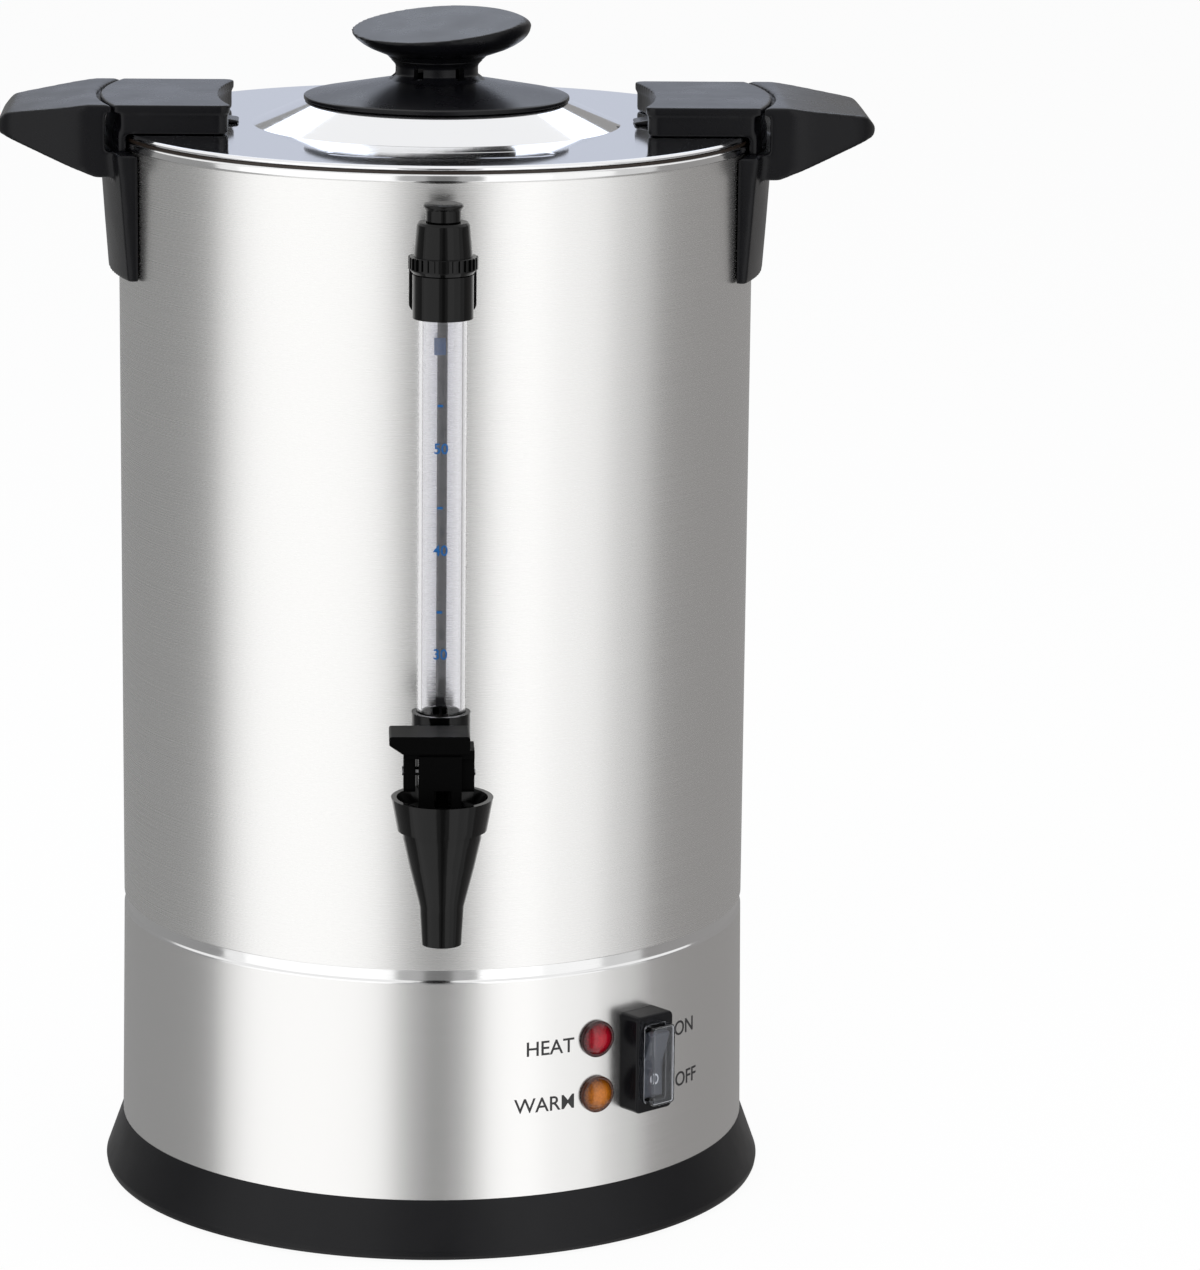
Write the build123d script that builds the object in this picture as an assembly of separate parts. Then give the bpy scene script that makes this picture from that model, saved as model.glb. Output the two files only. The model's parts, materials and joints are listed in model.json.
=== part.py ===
from build123d import *

# Percolator coffee urn: a stainless tank on a heated base, with a sight gauge, a spring-closed tap,
# a twist-on lid and a lift-out coffee basket.
# Millimetres, +Z up, the tap faces -Y. The origin is on the tank's axis, at the counter.
# An azimuth is an angle round the tank from the front: 0 is the tap, +90 the right handle, 180 the back.

import os
from math import cos, radians, sin

# ---------------------------------------------------------------- driving dimensions
# tank and its floor
tank_r = 110.0              # outside of the tank wall
sheet = 0.8                 # stainless sheet
seam_z = 102.0              # lower edge of the tank wall
rim_z = 373.2               # top of the rolled rim
bead_out = 1.3              # how far the rolled rim stands out
bead_h = 2.8
bead_round = 1.1
floor_up = 45.0             # upper face of the tank's floor, above the seam
floor_flange = 10.0         # down-turned edge of the floor, welded to the wall
weld_gap = 0.05
well_r = 22.0               # the well that holds the pump's foot
well_depth = 9.0
well_slope = 4.0

# skirt and base
skirt_flare = 1.0           # the skirt's lower edge stands out from the tank by this much
skirt_bottom_z = 20.8
groove_h = 4.5              # groove under the tank's lower edge
neck_up = 8.0               # how far the skirt's neck reaches into the tank
plinth_flare = 6.2          # and the plinth's foot from the skirt's lower edge
plinth_clear_z = 1.0        # the plinth clears the counter, the rubber feet don't
plinth_wall = 3.3
plinth_lip = 0.2
ledge_t = 2.6
ledge_in = 5.7
upstand_h = 6.2
upstand_t = 2.5
upstand_play = 0.05
slip = 0.1                  # a part that slides inside another in the same body
boss_in = 13.0              # ring of screw bosses, inside the skirt's lower edge
boss_r = 5.0
cover_z = 6.0               # lower face of the base cover
cover_t = 2.0
cover_play = 0.6
foot_in = 25.0              # ring of feet, inside the skirt's lower edge
foot_r = 9.0
vent_slots = 12
vent_in = 28.0              # ring of vents, inside the ring of feet
vent_len = 22.0
vent_w = 3.2
base_screw_r = 1.6
base_screw_len = 8.0

# lid, its seal and ears
seal_t = 0.8
seal_play = 0.4
hem_h = 1.7
hem_in = 2.0
lid_edge_in = 0.4           # the hem stops inside the rolled rim's edge
cone_h = 8.2                # the cone's top above the flange
cone_clear = 11.0           # between the cone's foot and the ears
lid_cone_top_r = 45.0
panel_out = 21.0            # plain raised panel on the flange, outside the cone's foot
panel_half_w = 8.0
panel_half_angle = 21.0
panel_h = 0.35
ear_over = 6.0              # the ears reach past the tank wall by this much
ear_len = 41.0
ear_half_w = 36.0
ear_h = 10.1                # above the flange
ear_hollow_r = 164.0        # the ear's concave inner end
ear_gap = 1.0               # between the ear and the handle
ear_drop = 4.1              # the ear's outer lip hangs over the rim by this much
ear_round = 4.0
ear_edge = 1.5
ear_screw_in = 26.0         # inside the ear's outer face
ear_screw_y = 18.0
ear_screw_r = 1.6
ear_screw_grip = 6.5
ear_tail = 7.5
ear_tail_h = 0.9
ear_tail_half_w = 6.0

# knob
knob_disc_r = 46.0
knob_disc_edge = 1.6
knob_neck_r = 14.3
knob_neck_up = 9.5          # above the lid's top
knob_seat_r = 16.2
knob_seat_up = 14.1
knob_bore_r = 11.0
knob_cap_rx = 31.3
knob_cap_ry = 24.0
knob_cap_rim_up = 11.6      # above the seat
knob_crown_h = 8.2
window_count = 6
window_w = 3.6
window_h = 4.0
knob_screw_r = 2.45

# handles
handle_over_ear = 0.2
handle_reach = 41.5         # outside the tank wall
handle_tip_half_w = 24.0
handle_leg_drop = 50.2      # below the rim
handle_root_drop = 16.7
handle_leg_out = 3.8        # leg thickness outside the tank, at the bottom
handle_root_out = 6.0
seat_gap = 0.05             # a moulding seated on the steel
handle_screw_r = 2.0
handle_screw_drops = (11.2, 41.2)   # below the rim
screw_washer_t = 1.0

# sight gauge
gauge_out = 13.0            # gauge axis, outside the tank wall
glass_r = 8.15
glass_wall = 1.7
gauge_way_r = 3.1           # the coffee's way into the glass
socket_wall = 1.65          # outside the glass
socket_top = 34.5           # above the shank's axis
glass_foot = 21.3
barrel_wall = 1.9          # outside the glass
barrel_top_drop = 31.0      # below the rim
barrel_h = 14.4
glass_over_stud = 1.4       # the glass ends this far above the stud's axis
gauge_seal_t = 1.2
ring_out = 1.45              # the ring stands out from the barrel
ring_h = 5.9
ring_ribs = 30
cap_in = 0.4                # the cap's foot, inside the barrel's face
cap_taper = 1.1
cap_h = 11.3
cap_edge = 0.9
plug_r = 6.7
plug_neck_r = 5.8
plug_stem_r = 4.0
plug_h = 6.2
plug_play = 0.3
stud_r = 4.0
stud_way_r = 1.8            # the bolt's way through the stud
stud_drop = 37.0
saddle_over = 1.0           # the spacer is wider than the barrel by this much a side
saddle_up = 9.5             # above and below the stud's axis
saddle_down = 7.4
stud_washer_t = 1.8

# tap
shank_over_floor = 14.0
shank_r = 7.9
shank_bore_r = 4.0
shank_flange_r = 12.6
post_r = 9.0
tap_washer_t = 2.6
tap_out = 40.0              # spout axis, outside the tank wall
cup_r = 16.8
cup_foot_r = 14.8
cup_wall = 1.8
cup_rim = 12.2              # above the shank's axis
cup_foot = 1.3
bonnet_top = 7.7
bonnet_t = 3.7
chamber_r = 9.0
chamber_foot = -13.0
seat_depth = 4.0
cone_r = 13.0
cone_mid = (10.85, -11.1)   # radius, height from the shank's axis
cone_low = (7.4, -24.7)
spout_r = 6.6
spout_foot = -37.8
spout_bore_r = 4.9
stem_r = 2.2
valve_r = 6.6
valve_h = 6.0
valve_gap = 0.15
spring_r = 4.4
spring_wire = 0.9
spring_turns = 3
pin_up = 21.0               # lever pin above the shank's axis
pin_r = 1.5
head_r = 5.0
head_play = 0.5
lever_left = -17.5
lever_right = 8.9
lever_half_d = 8.0
lever_up = 7.4              # paddle, above the pin
lever_t = 5.9
cheek_left = (-12.8, -8.9)
cheek_right = (6.2, 10.4)
cheek_drop = 6.2            # cheeks end this far below the pin
toe_gap = 0.4               # between the toe and the bonnet

# heating
element_ring_r = 48.0
element_r = 3.3
plate_gap = 2.0             # between the heater plate and the well
plate_out_r = 72.0
plate_t = 4.0
mica_t = 2.0
mica_r = 20.0
bracket_half_len = 62.0
bracket_half_w = 9.0
bracket_t = 2.5
tie_r = 3.0
nut_h = 4.4
nut_flats = 10.0
shield_drop = 34.2          # below the tank's floor
shield_r = 92.0
shield_rim = 6.0
shield_hole_r = 7.0
shield_hole_x = 62.0
thermostat_out = 12.0       # outside the heater plate
thermostat_r = 7.0
thermostat_h = 8.0
thermostat_rim = 1.4
tab_w = 4.8                 # push-on tabs
tab_t = 0.8
tab_len = 8.0
tab_apart = 7.2
cold_pin_r = 1.6
tail_len = 14.0             # the element's cold tails and their pins
pin_len = 22.0
fuse_x = 62.0
fuse_r = 2.2
fuse_len = 14.0

# controls on the skirt
lamp_step = 9.4             # degrees round the skirt from the switch
lamp_drop = 9.9             # amber lamp below the switch's centre
lamp_up = 9.8               # red lamp above it
lamp_rim_r = 6.4
lamp_dome_r = 5.4
lamp_rise = 3.9
lamp_stem_r = 4.4
lamp_body_r = 6.0
lamp_body_len = 13.0
switch_azimuth = 38.9
switch_z = 63.9
frame_side = 1.75           # the frame is wider than the body by this much a side
frame_end = 3.55
switch_out = 8.6
body_side = 1.9             # walls of the body beside and above the slot
body_end = 0.5
switch_body_len = 19.0
slot_play = 0.5             # between the rocker and the slot, a side
slot_end_play = 1.2
hood_side = 0.6             # the hood covers the slot and this much more, a side
hood_end = 0.9
hood_out = 4.9
hood_wall = 0.7
rocker_w = 8.2
rocker_half_len = 12.0
rocker_pivot_out = 3.2
rocker_end_rise = 6.4
rocker_mid_rise = 4.4
rocker_tilt = 8.0
inlet_z = 60.0
inlet_w = 31.0
inlet_h = 25.0
inlet_out = 3.0
inlet_body_w = 27.6
inlet_body_h = 20.0
inlet_body_len = 21.0
inlet_well_w = 24.6
inlet_well_h = 16.6
inlet_well_depth = 18.0
block_len = 34.0
block_w = 18.0
block_h = 13.0
block_at = (-48.0, 34.0)
wire_r = 1.3

# percolator
pump_r = 3.1
pump_bore_r = 2.4
riser_over = 45.0           # the tube's mouth above the basket's floor
pump_foot_r = 13.0
pump_foot_seat_r = 6.5
pump_foot_h = 10.0
pump_petals = 8
basket_clear = 9.2          # between the basket and the tank wall
basket_h = 42.0
basket_drop = 57.2          # basket's floor below the rim
basket_wall = 0.8
bead_rows = 5
bead_row_r = 1.0
petals = 6
petal_in_r = 26.0
petal_margin = 18.0         # between the petals and the basket's wall
petal_angle = 44.0
hole_r = 1.3
hole_rows = 6
hole_pitch = 7.2
spray_r = 16.0
spray_over = 3.0            # the spray disc above the tube's mouth
spray_t = 0.9
collar_h = 7.0
collar_drop = 12.0          # the collar's foot below the tube's mouth
collar_wall = 1.0
spray_leg_in = 5.0          # the legs meet the disc inside its edge
stop_r = 6.5
stop_h = 3.0

# ---------------------------------------------------------------- derived places
tank_in_r = tank_r - sheet
bead_r = tank_r + bead_out
skirt_bottom_r = tank_r + skirt_flare
plinth_r = skirt_bottom_r + plinth_flare
boss_ring_r = skirt_bottom_r - boss_in
foot_ring_r = skirt_bottom_r - foot_in
vent_ring_r = foot_ring_r - vent_in
floor_z = seam_z + floor_up
floor_r = tank_in_r - weld_gap
floor_under_z = floor_z - sheet
well_z = floor_z - well_depth
well_under_z = well_z - sheet
groove_z = seam_z - groove_h
neck_r = tank_in_r - weld_gap
hem_z = rim_z + seal_t
flange_top_z = hem_z + hem_h
lid_r = bead_r - lid_edge_in
lid_top_z = flange_top_z + cone_h
ear_r = tank_r + ear_over
ear_inner_x = ear_r - ear_len
ear_screw_x = ear_r - ear_screw_in
ear_top_z = flange_top_z + ear_h
lid_cone_foot_r = ear_inner_x - cone_clear
panel_r = lid_cone_foot_r + panel_out
knob_neck_z = lid_top_z + knob_neck_up
knob_seat_z = lid_top_z + knob_seat_up
knob_cap_rim_z = knob_seat_z + knob_cap_rim_up
knob_cap_top_z = knob_cap_rim_z + knob_crown_h
handle_half_w = ear_half_w
handle_top_z = ear_top_z + handle_over_ear
handle_tip_x = tank_r + handle_reach
handle_leg_bottom_z = rim_z - handle_leg_drop
handle_root_z = rim_z - handle_root_drop
handle_arc_r = ear_r + ear_gap
gauge_y = -(tank_r + gauge_out)
socket_r = glass_r + socket_wall
barrel_r = glass_r + barrel_wall
ring_r = barrel_r + ring_out
cap_foot_r = barrel_r - cap_in
cap_top_r = cap_foot_r - cap_taper
saddle_half_w = barrel_r + saddle_over
tap_y = -(tank_r + tap_out)
shank_z = floor_z + shank_over_floor
stud_z = rim_z - stud_drop
barrel_top_z = rim_z - barrel_top_drop
barrel_foot_z = barrel_top_z - barrel_h
cap_top_z = barrel_top_z + ring_h + cap_h
glass_top_z = stud_z + glass_over_stud
pin_z = shank_z + pin_up
lever_foot_z = pin_z + lever_up
cheek_foot_z = pin_z - cheek_drop
bonnet_top_z = shank_z + bonnet_top
bonnet_foot_z = bonnet_top_z - bonnet_t
toe_foot_z = bonnet_top_z + toe_gap
chamber_z = shank_z + chamber_foot
plate_z = floor_under_z - plate_t
plate_in_r = well_r + well_slope + plate_gap
shield_z = floor_under_z - shield_drop
thermostat_x = plate_out_r + thermostat_out
element_z = plate_z - element_r
mica_z = well_under_z - mica_t
bracket_z = mica_z - bracket_t
cover_top_z = cover_z + cover_t
lamp_azimuth = switch_azimuth - lamp_step
lamp_z = (switch_z - lamp_drop, switch_z + lamp_up)
switch_slot_w = rocker_w + 2 * slot_play
switch_slot_h = 2 * (rocker_half_len + slot_end_play)
hood_w = switch_slot_w + 2 * hood_side
hood_h = switch_slot_h + 2 * hood_end
switch_body_w = switch_slot_w + 2 * body_side
switch_body_h = switch_slot_h + 2 * body_end
switch_w = switch_body_w + 2 * frame_side
switch_h = switch_body_h + 2 * frame_end
pump_z = well_z
basket_z = rim_z - basket_drop
basket_r = tank_in_r - basket_clear
petal_out_r = basket_r - petal_margin
tube_top_z = basket_z + riser_over
spray_top_z = tube_top_z + spray_over


def skirt_r(z):
    """Outside radius of the skirt at a height."""
    share = (z - skirt_bottom_z) / (groove_z - skirt_bottom_z)
    return skirt_bottom_r + share * (tank_r - skirt_bottom_r)


# ---------------------------------------------------------------- helpers
def lathe(*points):
    """A solid of revolution about Z from a closed outline of (radius, height) points."""
    return revolve(Plane.XZ * make_face(Polyline(*points, close=True)), axis=Axis.Z)


def disc(radius, low, high, at=(0, 0)):
    return Pos(at[0], at[1], (low + high) / 2) * Cylinder(radius, high - low)


def ring(outer, inner, low, high, at=(0, 0)):
    return disc(outer, low, high, at) - disc(inner, low - 1, high + 1, at)


def block(x, y, z):
    """A box from three (low, high) pairs."""
    size = [high - low for low, high in (x, y, z)]
    middle = [(high + low) / 2 for low, high in (x, y, z)]
    return Pos(*middle) * Box(*size)


def rod_x(radius, low, high, y, z):
    return Pos((low + high) / 2, y, z) * Rot(0, 90, 0) * Cylinder(radius, high - low)


def rod_y(radius, low, high, x, z):
    return Pos(x, (low + high) / 2, z) * Rot(90, 0, 0) * Cylinder(radius, high - low)


def hexagon(flats, low, high, at=(0, 0)):
    sketch = RegularPolygon(radius=flats / 2, side_count=6, major_radius=False)
    return Pos(at[0], at[1], low) * extrude(sketch, amount=high - low)


def on_wall(azimuth, radius, z):
    """A place on a wall: local X runs along the wall, local Y is up, local Z points outwards."""
    a = radians(azimuth)
    outward = (sin(a), -cos(a), 0)
    origin = (radius * outward[0], radius * outward[1], z)
    return Plane(origin=origin, x_dir=(cos(a), sin(a), 0), z_dir=outward).location


def group(*shapes):
    """Several solids kept apart in one node."""
    return Compound(children=[solid for shape in shapes for solid in shape.solids()])


def edge_circles(shape, radius, z=None):
    """The circular edges of one radius, optionally at one height."""
    found = [e for e in shape.edges() if e.geom_type == GeomType.CIRCLE and abs(e.radius - radius) < 1e-3]
    if z is not None:
        found = [e for e in found if abs(e.center().Z - z) < 1e-3]
    return found


def tank_core(gap=0.0):
    """The space inside the tank wall's outer face, for seating mouldings on it."""
    return disc(tank_r + gap, seam_z - 5, rim_z + 20)


def tank_bore(gap=0.0):
    """The space inside the tank wall's inner face."""
    return disc(tank_in_r - gap, seam_z, rim_z + 20)


def skirt_core(gap=0.0):
    """The space inside the skirt's outer face."""
    low, high = skirt_bottom_z, groove_z
    return lathe((0, low), (skirt_r(low) + gap, low), (skirt_r(high) + gap, high), (0, high))


# ---------------------------------------------------------------- tank
def tank_wall():
    bead_z = rim_z - bead_h
    wall = lathe((tank_in_r, seam_z), (tank_r, seam_z), (tank_r, bead_z), (bead_r, bead_z),
                 (bead_r, rim_z), (tank_in_r, rim_z))
    wall = fillet(edge_circles(wall, bead_r), bead_round)
    wall -= rod_y(shank_r + slip, -tank_r - 5, -tank_r + 10, 0, shank_z)
    wall -= rod_y(stud_r + slip, -tank_r - 5, -tank_r + 10, 0, stud_z)
    for side in (-1, 1):
        for drop in handle_screw_drops:
            ends = sorted((side * (tank_r - 10), side * (tank_r + 5)))
            wall -= rod_x(handle_screw_r + slip, *ends, 0, rim_z - drop)
    return wall


def tank_floor():
    foot = floor_z - floor_flange
    return lathe((0, well_z), (well_r, well_z), (well_r + well_slope, floor_z), (floor_r, floor_z),
                 (floor_r, foot), (floor_r - sheet, foot), (floor_r - sheet, floor_under_z),
                 (well_r + well_slope + sheet / 2, floor_under_z), (well_r + sheet / 2, well_under_z),
                 (0, well_under_z))


# ---------------------------------------------------------------- skirt and base
def skirt():
    low, top = skirt_bottom_z, seam_z + neck_up
    step = tank_r - neck_r
    shell = lathe((skirt_bottom_r, low), (tank_r, groove_z), (neck_r, groove_z + step), (neck_r, top),
                  (neck_r - sheet, top), (neck_r - sheet, groove_z + step - sheet / 2),
                  (tank_r - sheet, groove_z - sheet / 2), (skirt_bottom_r - sheet, low))
    for z in lamp_z:
        shell -= on_wall(lamp_azimuth, skirt_r(z), z) * Cylinder(lamp_stem_r + slip, 12)
    shell -= on_wall(switch_azimuth, skirt_r(switch_z), switch_z) * Box(
        switch_body_w + 2 * slip, switch_body_h + 2 * slip, 12)
    shell -= on_wall(180, skirt_r(inlet_z), inlet_z) * Box(
        inlet_body_w + 2 * slip, inlet_body_h + 2 * slip, 12)
    return shell


def plinth():
    top = skirt_bottom_z
    top_r = skirt_bottom_r + plinth_lip
    foot = plinth_clear_z
    round_z = foot + 3.2
    ledge_z = top - ledge_t
    in_r = skirt_r(top + upstand_h) - sheet - upstand_play
    body = lathe((top_r, top), (plinth_r, round_z), (plinth_r - 0.2, round_z - 1.6),
                 (plinth_r - 1.0, foot), (plinth_r - plinth_wall - 0.7, foot),
                 (plinth_r - plinth_wall, round_z), (top_r - plinth_wall + 0.6, ledge_z),
                 (top_r - ledge_in, ledge_z), (top_r - ledge_in, top), (in_r - upstand_t, top),
                 (in_r - upstand_t, top + upstand_h), (in_r, top + upstand_h), (in_r, top))
    for quarter in range(4):
        post = disc(boss_r, cover_top_z, top, (boss_ring_r, 0))
        rib = block((boss_ring_r, top_r - ledge_in + 1.5), (-1.5, 1.5), (cover_top_z + 4, top))
        bore = disc(base_screw_r + weld_gap, cover_top_z - 1, cover_top_z + base_screw_len + 1,
                    (boss_ring_r, 0))
        body += Rot(0, 0, 90 * quarter) * (post + rib)
        body -= Rot(0, 0, 90 * quarter) * bore
    return body


def cover_outer_r():
    """The base cover drops into the plinth from below and stops at the bosses."""
    round_z, ledge_z = plinth_clear_z + 3.2, skirt_bottom_z - ledge_t
    low_r, high_r = plinth_r - plinth_wall, skirt_bottom_r + plinth_lip - plinth_wall + 0.6
    share = (cover_top_z - round_z) / (ledge_z - round_z)
    return low_r + share * (high_r - low_r) - cover_play


def base_cover():
    plate = disc(cover_outer_r(), cover_z, cover_top_z)
    plate -= disc(tie_r + slip, cover_z - 1, cover_top_z + 1)
    plate -= [Rot(0, 0, 90 * n) * disc(base_screw_r + slip, cover_z - 1, cover_top_z + 1,
                                       (boss_ring_r, 0)) for n in range(4)]
    plate -= [Rot(0, 0, 45 + 90 * n) * disc(foot_r / 3 + slip, cover_z - 1, cover_top_z + 1,
                                            (foot_ring_r, 0)) for n in range(4)]
    slot = Pos(vent_ring_r, 0, 0) * extrude(SlotOverall(vent_len, vent_w), amount=cover_top_z + 1)
    plate -= [Rot(0, 0, (n + 0.5) * 360 / vent_slots) * slot for n in range(vent_slots)]
    return plate


def base_screws():
    head = disc(base_screw_r * 2, cover_z - 2, cover_z, (boss_ring_r, 0))
    shank = disc(base_screw_r, cover_z - 1, cover_top_z + base_screw_len, (boss_ring_r, 0))
    drive = block((boss_ring_r - 1.6, boss_ring_r + 1.6), (-0.35, 0.35), (cover_z - 3, cover_z - 1.2))
    screw = head + shank - drive
    return group(*[Rot(0, 0, 90 * n) * screw for n in range(4)])


def rubber_feet():
    pad = lathe((0, 0), (foot_r - 1.0, 0), (foot_r, 1.5), (foot_r, cover_z), (0, cover_z))
    plug = disc(foot_r / 3, cover_z - 0.5, cover_top_z + 0.2)
    barb = lathe((0, cover_top_z + 0.05), (foot_r / 3 + 1, cover_top_z + 0.05),
                 (foot_r / 3 - 0.5, cover_top_z + 3.5), (0, cover_top_z + 3.5))
    foot = pad + plug + barb
    return group(*[Rot(0, 0, 45 + 90 * n) * Pos(foot_ring_r, 0, 0) * foot for n in range(4)])


# ---------------------------------------------------------------- handles
def handle():
    """The right-hand grip: a thick wing with a broad leg that hugs the tank."""
    leg_x = tank_r + handle_leg_out
    root_x = tank_r + handle_root_out
    tip_z = handle_top_z - 9.8
    inner_x = tank_r - 20
    side = [(inner_x, handle_leg_bottom_z), (leg_x, handle_leg_bottom_z), (root_x, handle_root_z),
            (handle_tip_x - 2.5, handle_root_z + 14.8), (handle_tip_x, tip_z),
            (handle_tip_x - 4.5, handle_top_z - 4.3), (handle_arc_r + 2, handle_top_z),
            (inner_x, handle_top_z)]
    profile = make_face(FilletPolyline(*side, radius=[0, 1.6, 2.5, 3.5, 2.5, 3, 8, 0], close=True))
    body = extrude(Plane.XZ * profile, amount=handle_half_w + 5, both=True)
    bend_x = handle_arc_r + 8
    plan = [(0, -handle_half_w), (bend_x, -handle_half_w), (handle_tip_x, -handle_tip_half_w),
            (handle_tip_x, handle_tip_half_w), (bend_x, handle_half_w), (0, handle_half_w)]
    outline = make_face(FilletPolyline(*plan, radius=[0, 20, 14, 14, 20, 0], close=True))
    body &= extrude(outline, amount=handle_top_z + 5)
    lip_z = rim_z - bead_h - 0.6
    body -= disc(tank_r + seat_gap, 0, lip_z + 0.1)
    body -= disc(handle_arc_r, lip_z, handle_top_z + 5)
    body = body.solids().sort_by(SortBy.VOLUME)[-1]
    for drop in handle_screw_drops:
        body -= rod_x(insert_r() + weld_gap, tank_r - 5, insert_end(), 0, rim_z - drop)
    return body


def insert_r():
    return handle_screw_r + 1.5


def insert_end():
    return tank_r + handle_leg_out - 0.8


def handle_inserts():
    pieces = []
    for side in (0, 180):
        for drop in handle_screw_drops:
            sleeve = rod_x(insert_r(), tank_r + 0.3, insert_end() - slip, 0, rim_z - drop)
            sleeve -= rod_x(handle_screw_r + weld_gap, tank_r - 5, insert_end() + 1, 0, rim_z - drop)
            pieces.append(Rot(0, 0, side) * sleeve)
    return group(*pieces)


def handle_screws():
    """Pan heads on sealing washers inside the tank."""
    pieces = []
    for side in (0, 180):
        for drop in handle_screw_drops:
            z = rim_z - drop
            washer_x = tank_in_r - screw_washer_t
            head = rod_x(handle_screw_r * 2, washer_x - 2.4, washer_x, 0, z)
            shank = rod_x(handle_screw_r, washer_x - 0.1, insert_end() - 2 * slip, 0, z)
            slot = block((washer_x - 3, washer_x - 1.6), (-0.4, 0.4), (z - 2.4, z + 2.4))
            pieces.append(Rot(0, 0, side) * (head + shank - slot))
    return group(*pieces)


# ---------------------------------------------------------------- sight gauge
def gauge_at():
    return (0, gauge_y)


def gauge_tube():
    return ring(glass_r, glass_r - glass_wall, shank_z + glass_foot, glass_top_z, gauge_at())


def gauge_seals():
    low = ring(glass_r, gauge_way_r + 1.5, shank_z + glass_foot - gauge_seal_t, shank_z + glass_foot, gauge_at())
    high = ring(glass_r, gauge_way_r + 1.5, glass_top_z, glass_top_z + gauge_seal_t, gauge_at())
    return group(low, high)


def gauge_barrel():
    """The upper fitting: holds the glass and is bolted to the tank wall by its hollow stud."""
    bore_top = glass_top_z + gauge_seal_t + slip
    body = disc(barrel_r, barrel_foot_z, barrel_top_z, gauge_at())
    body += rod_y(stud_r, gauge_y, -tank_r + 9.5, 0, stud_z)
    body += disc(barrel_r - 2.0, barrel_top_z - 1, barrel_top_z + 4.4, gauge_at())
    body -= disc(glass_r + slip, barrel_foot_z - 1, bore_top, gauge_at())
    body -= disc(plug_stem_r + plug_play, bore_top - 1, barrel_top_z + 6, gauge_at())
    body -= rod_y(stud_way_r, gauge_y, -tank_r + 12, 0, stud_z)
    return body


def gauge_saddle():
    """Spacer block between the upper fitting and the curved tank wall."""
    foot, head = stud_z - saddle_down, stud_z + saddle_up
    body = block((-saddle_half_w, saddle_half_w), (gauge_y + 4, -tank_r + 6), (foot, head))
    body = fillet(body.edges().filter_by(Axis.Y), 3.0)
    body -= tank_core(seat_gap)
    body -= disc(barrel_r + seat_gap, foot - 1, head + 1, gauge_at())
    body -= rod_y(stud_r + slip, gauge_y - 5, -tank_r + 10, 0, stud_z)
    body -= disc(ring_r + 0.3, barrel_top_z - 0.1, head + 1, gauge_at())
    return body


def gauge_nut():
    face = -tank_in_r + stud_washer_t
    nut = Pos(0, face, stud_z) * Rot(-90, 0, 0) * hexagon(11.5, 0, 4.0)
    return nut - rod_y(stud_r + weld_gap, face - 1, face + 6, 0, stud_z)


def gauge_ring():
    """Ribbed ring that clamps the cap on the upper fitting."""
    low, high = barrel_top_z, barrel_top_z + ring_h
    outer = ring_r - 0.55
    body = lathe((barrel_r - 1.9, low), (outer - 1.2, low), (outer, low + 1.6), (outer, high),
                 (cap_foot_r + slip, high), (cap_foot_r + slip, low + 2.0), (barrel_r - 1.9, low + 2.0))
    rib = Pos(outer - 0.25, 0, (low + high + 1.6) / 2) * Box(1.5, 1.05, high - low - 1.6)
    body += [Rot(0, 0, n * 360 / ring_ribs) * rib for n in range(ring_ribs)]
    return Pos(0, gauge_y, 0) * body


def gauge_cap():
    low, high = barrel_top_z + 2.0 + slip, cap_top_z
    foot_z = barrel_top_z + ring_h
    neck = barrel_r - 2.0 + slip
    shoulder = barrel_top_z + 4.4 + slip
    body = lathe((neck, low), (cap_foot_r, low), (cap_foot_r, foot_z), (cap_top_r + 0.2, high - cap_edge),
                 (cap_top_r - 0.5, high), (plug_stem_r + plug_play, high),
                 (plug_stem_r + plug_play, shoulder), (neck, shoulder))
    return Pos(0, gauge_y, 0) * body


def gauge_plug():
    """Finger plug that lifts out of the gauge for the cleaning brush."""
    top = cap_top_z + plug_h
    seat = cap_top_z + slip
    stem_foot = barrel_top_z + 6.5
    body = lathe((0, stem_foot), (plug_stem_r - 0.6, stem_foot), (plug_stem_r, stem_foot + 1),
                 (plug_stem_r, seat), (plug_neck_r, seat), (plug_neck_r, top - 2.6), (plug_r, top - 1.0),
                 (plug_r - 0.4, top - 0.3), (plug_r - 2.0, top), (0, top))
    return Pos(0, gauge_y, 0) * body


# ---------------------------------------------------------------- tap
def tap_shank():
    """Hollow shank through the tank wall, with the socket that carries the sight glass."""
    inner_y = -tank_r + 14
    front_y = tap_y + cone_r
    body = rod_y(shank_r, front_y, inner_y, 0, shank_z)
    body += rod_y(shank_flange_r, -tank_r - 6, -tank_r - 3, 0, shank_z)
    body += rod_y(post_r, gauge_y - 7, -tank_r - 4.5, 0, shank_z)
    body += disc(post_r, shank_z, shank_z + 24, gauge_at())
    body += disc(socket_r, shank_z + 19.5, shank_z + socket_top, gauge_at())
    body -= disc(glass_r + slip, shank_z + glass_foot - 1.2, shank_z + 60, gauge_at())
    body -= disc(gauge_way_r, shank_z, shank_z + 60, gauge_at())
    body -= rod_y(shank_bore_r, front_y - 5, inner_y + 5, 0, shank_z)
    body -= Pos(0, tap_y, 0) * disc(cone_r + slip, shank_z - 30, shank_z + 30)
    spigot = rod_y(spigot_r() + slip, tap_y, tap_y + cone_r + spigot_len() + slip, 0, shank_z)
    body -= spigot
    body -= Pos(0, tap_y, 0) * disc(cup_r + 0.3, shank_z + cup_foot - 1, shank_z + 40)
    return body


def spigot_r():
    return shank_r - 1.6


def spigot_len():
    return 5.0


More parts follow.
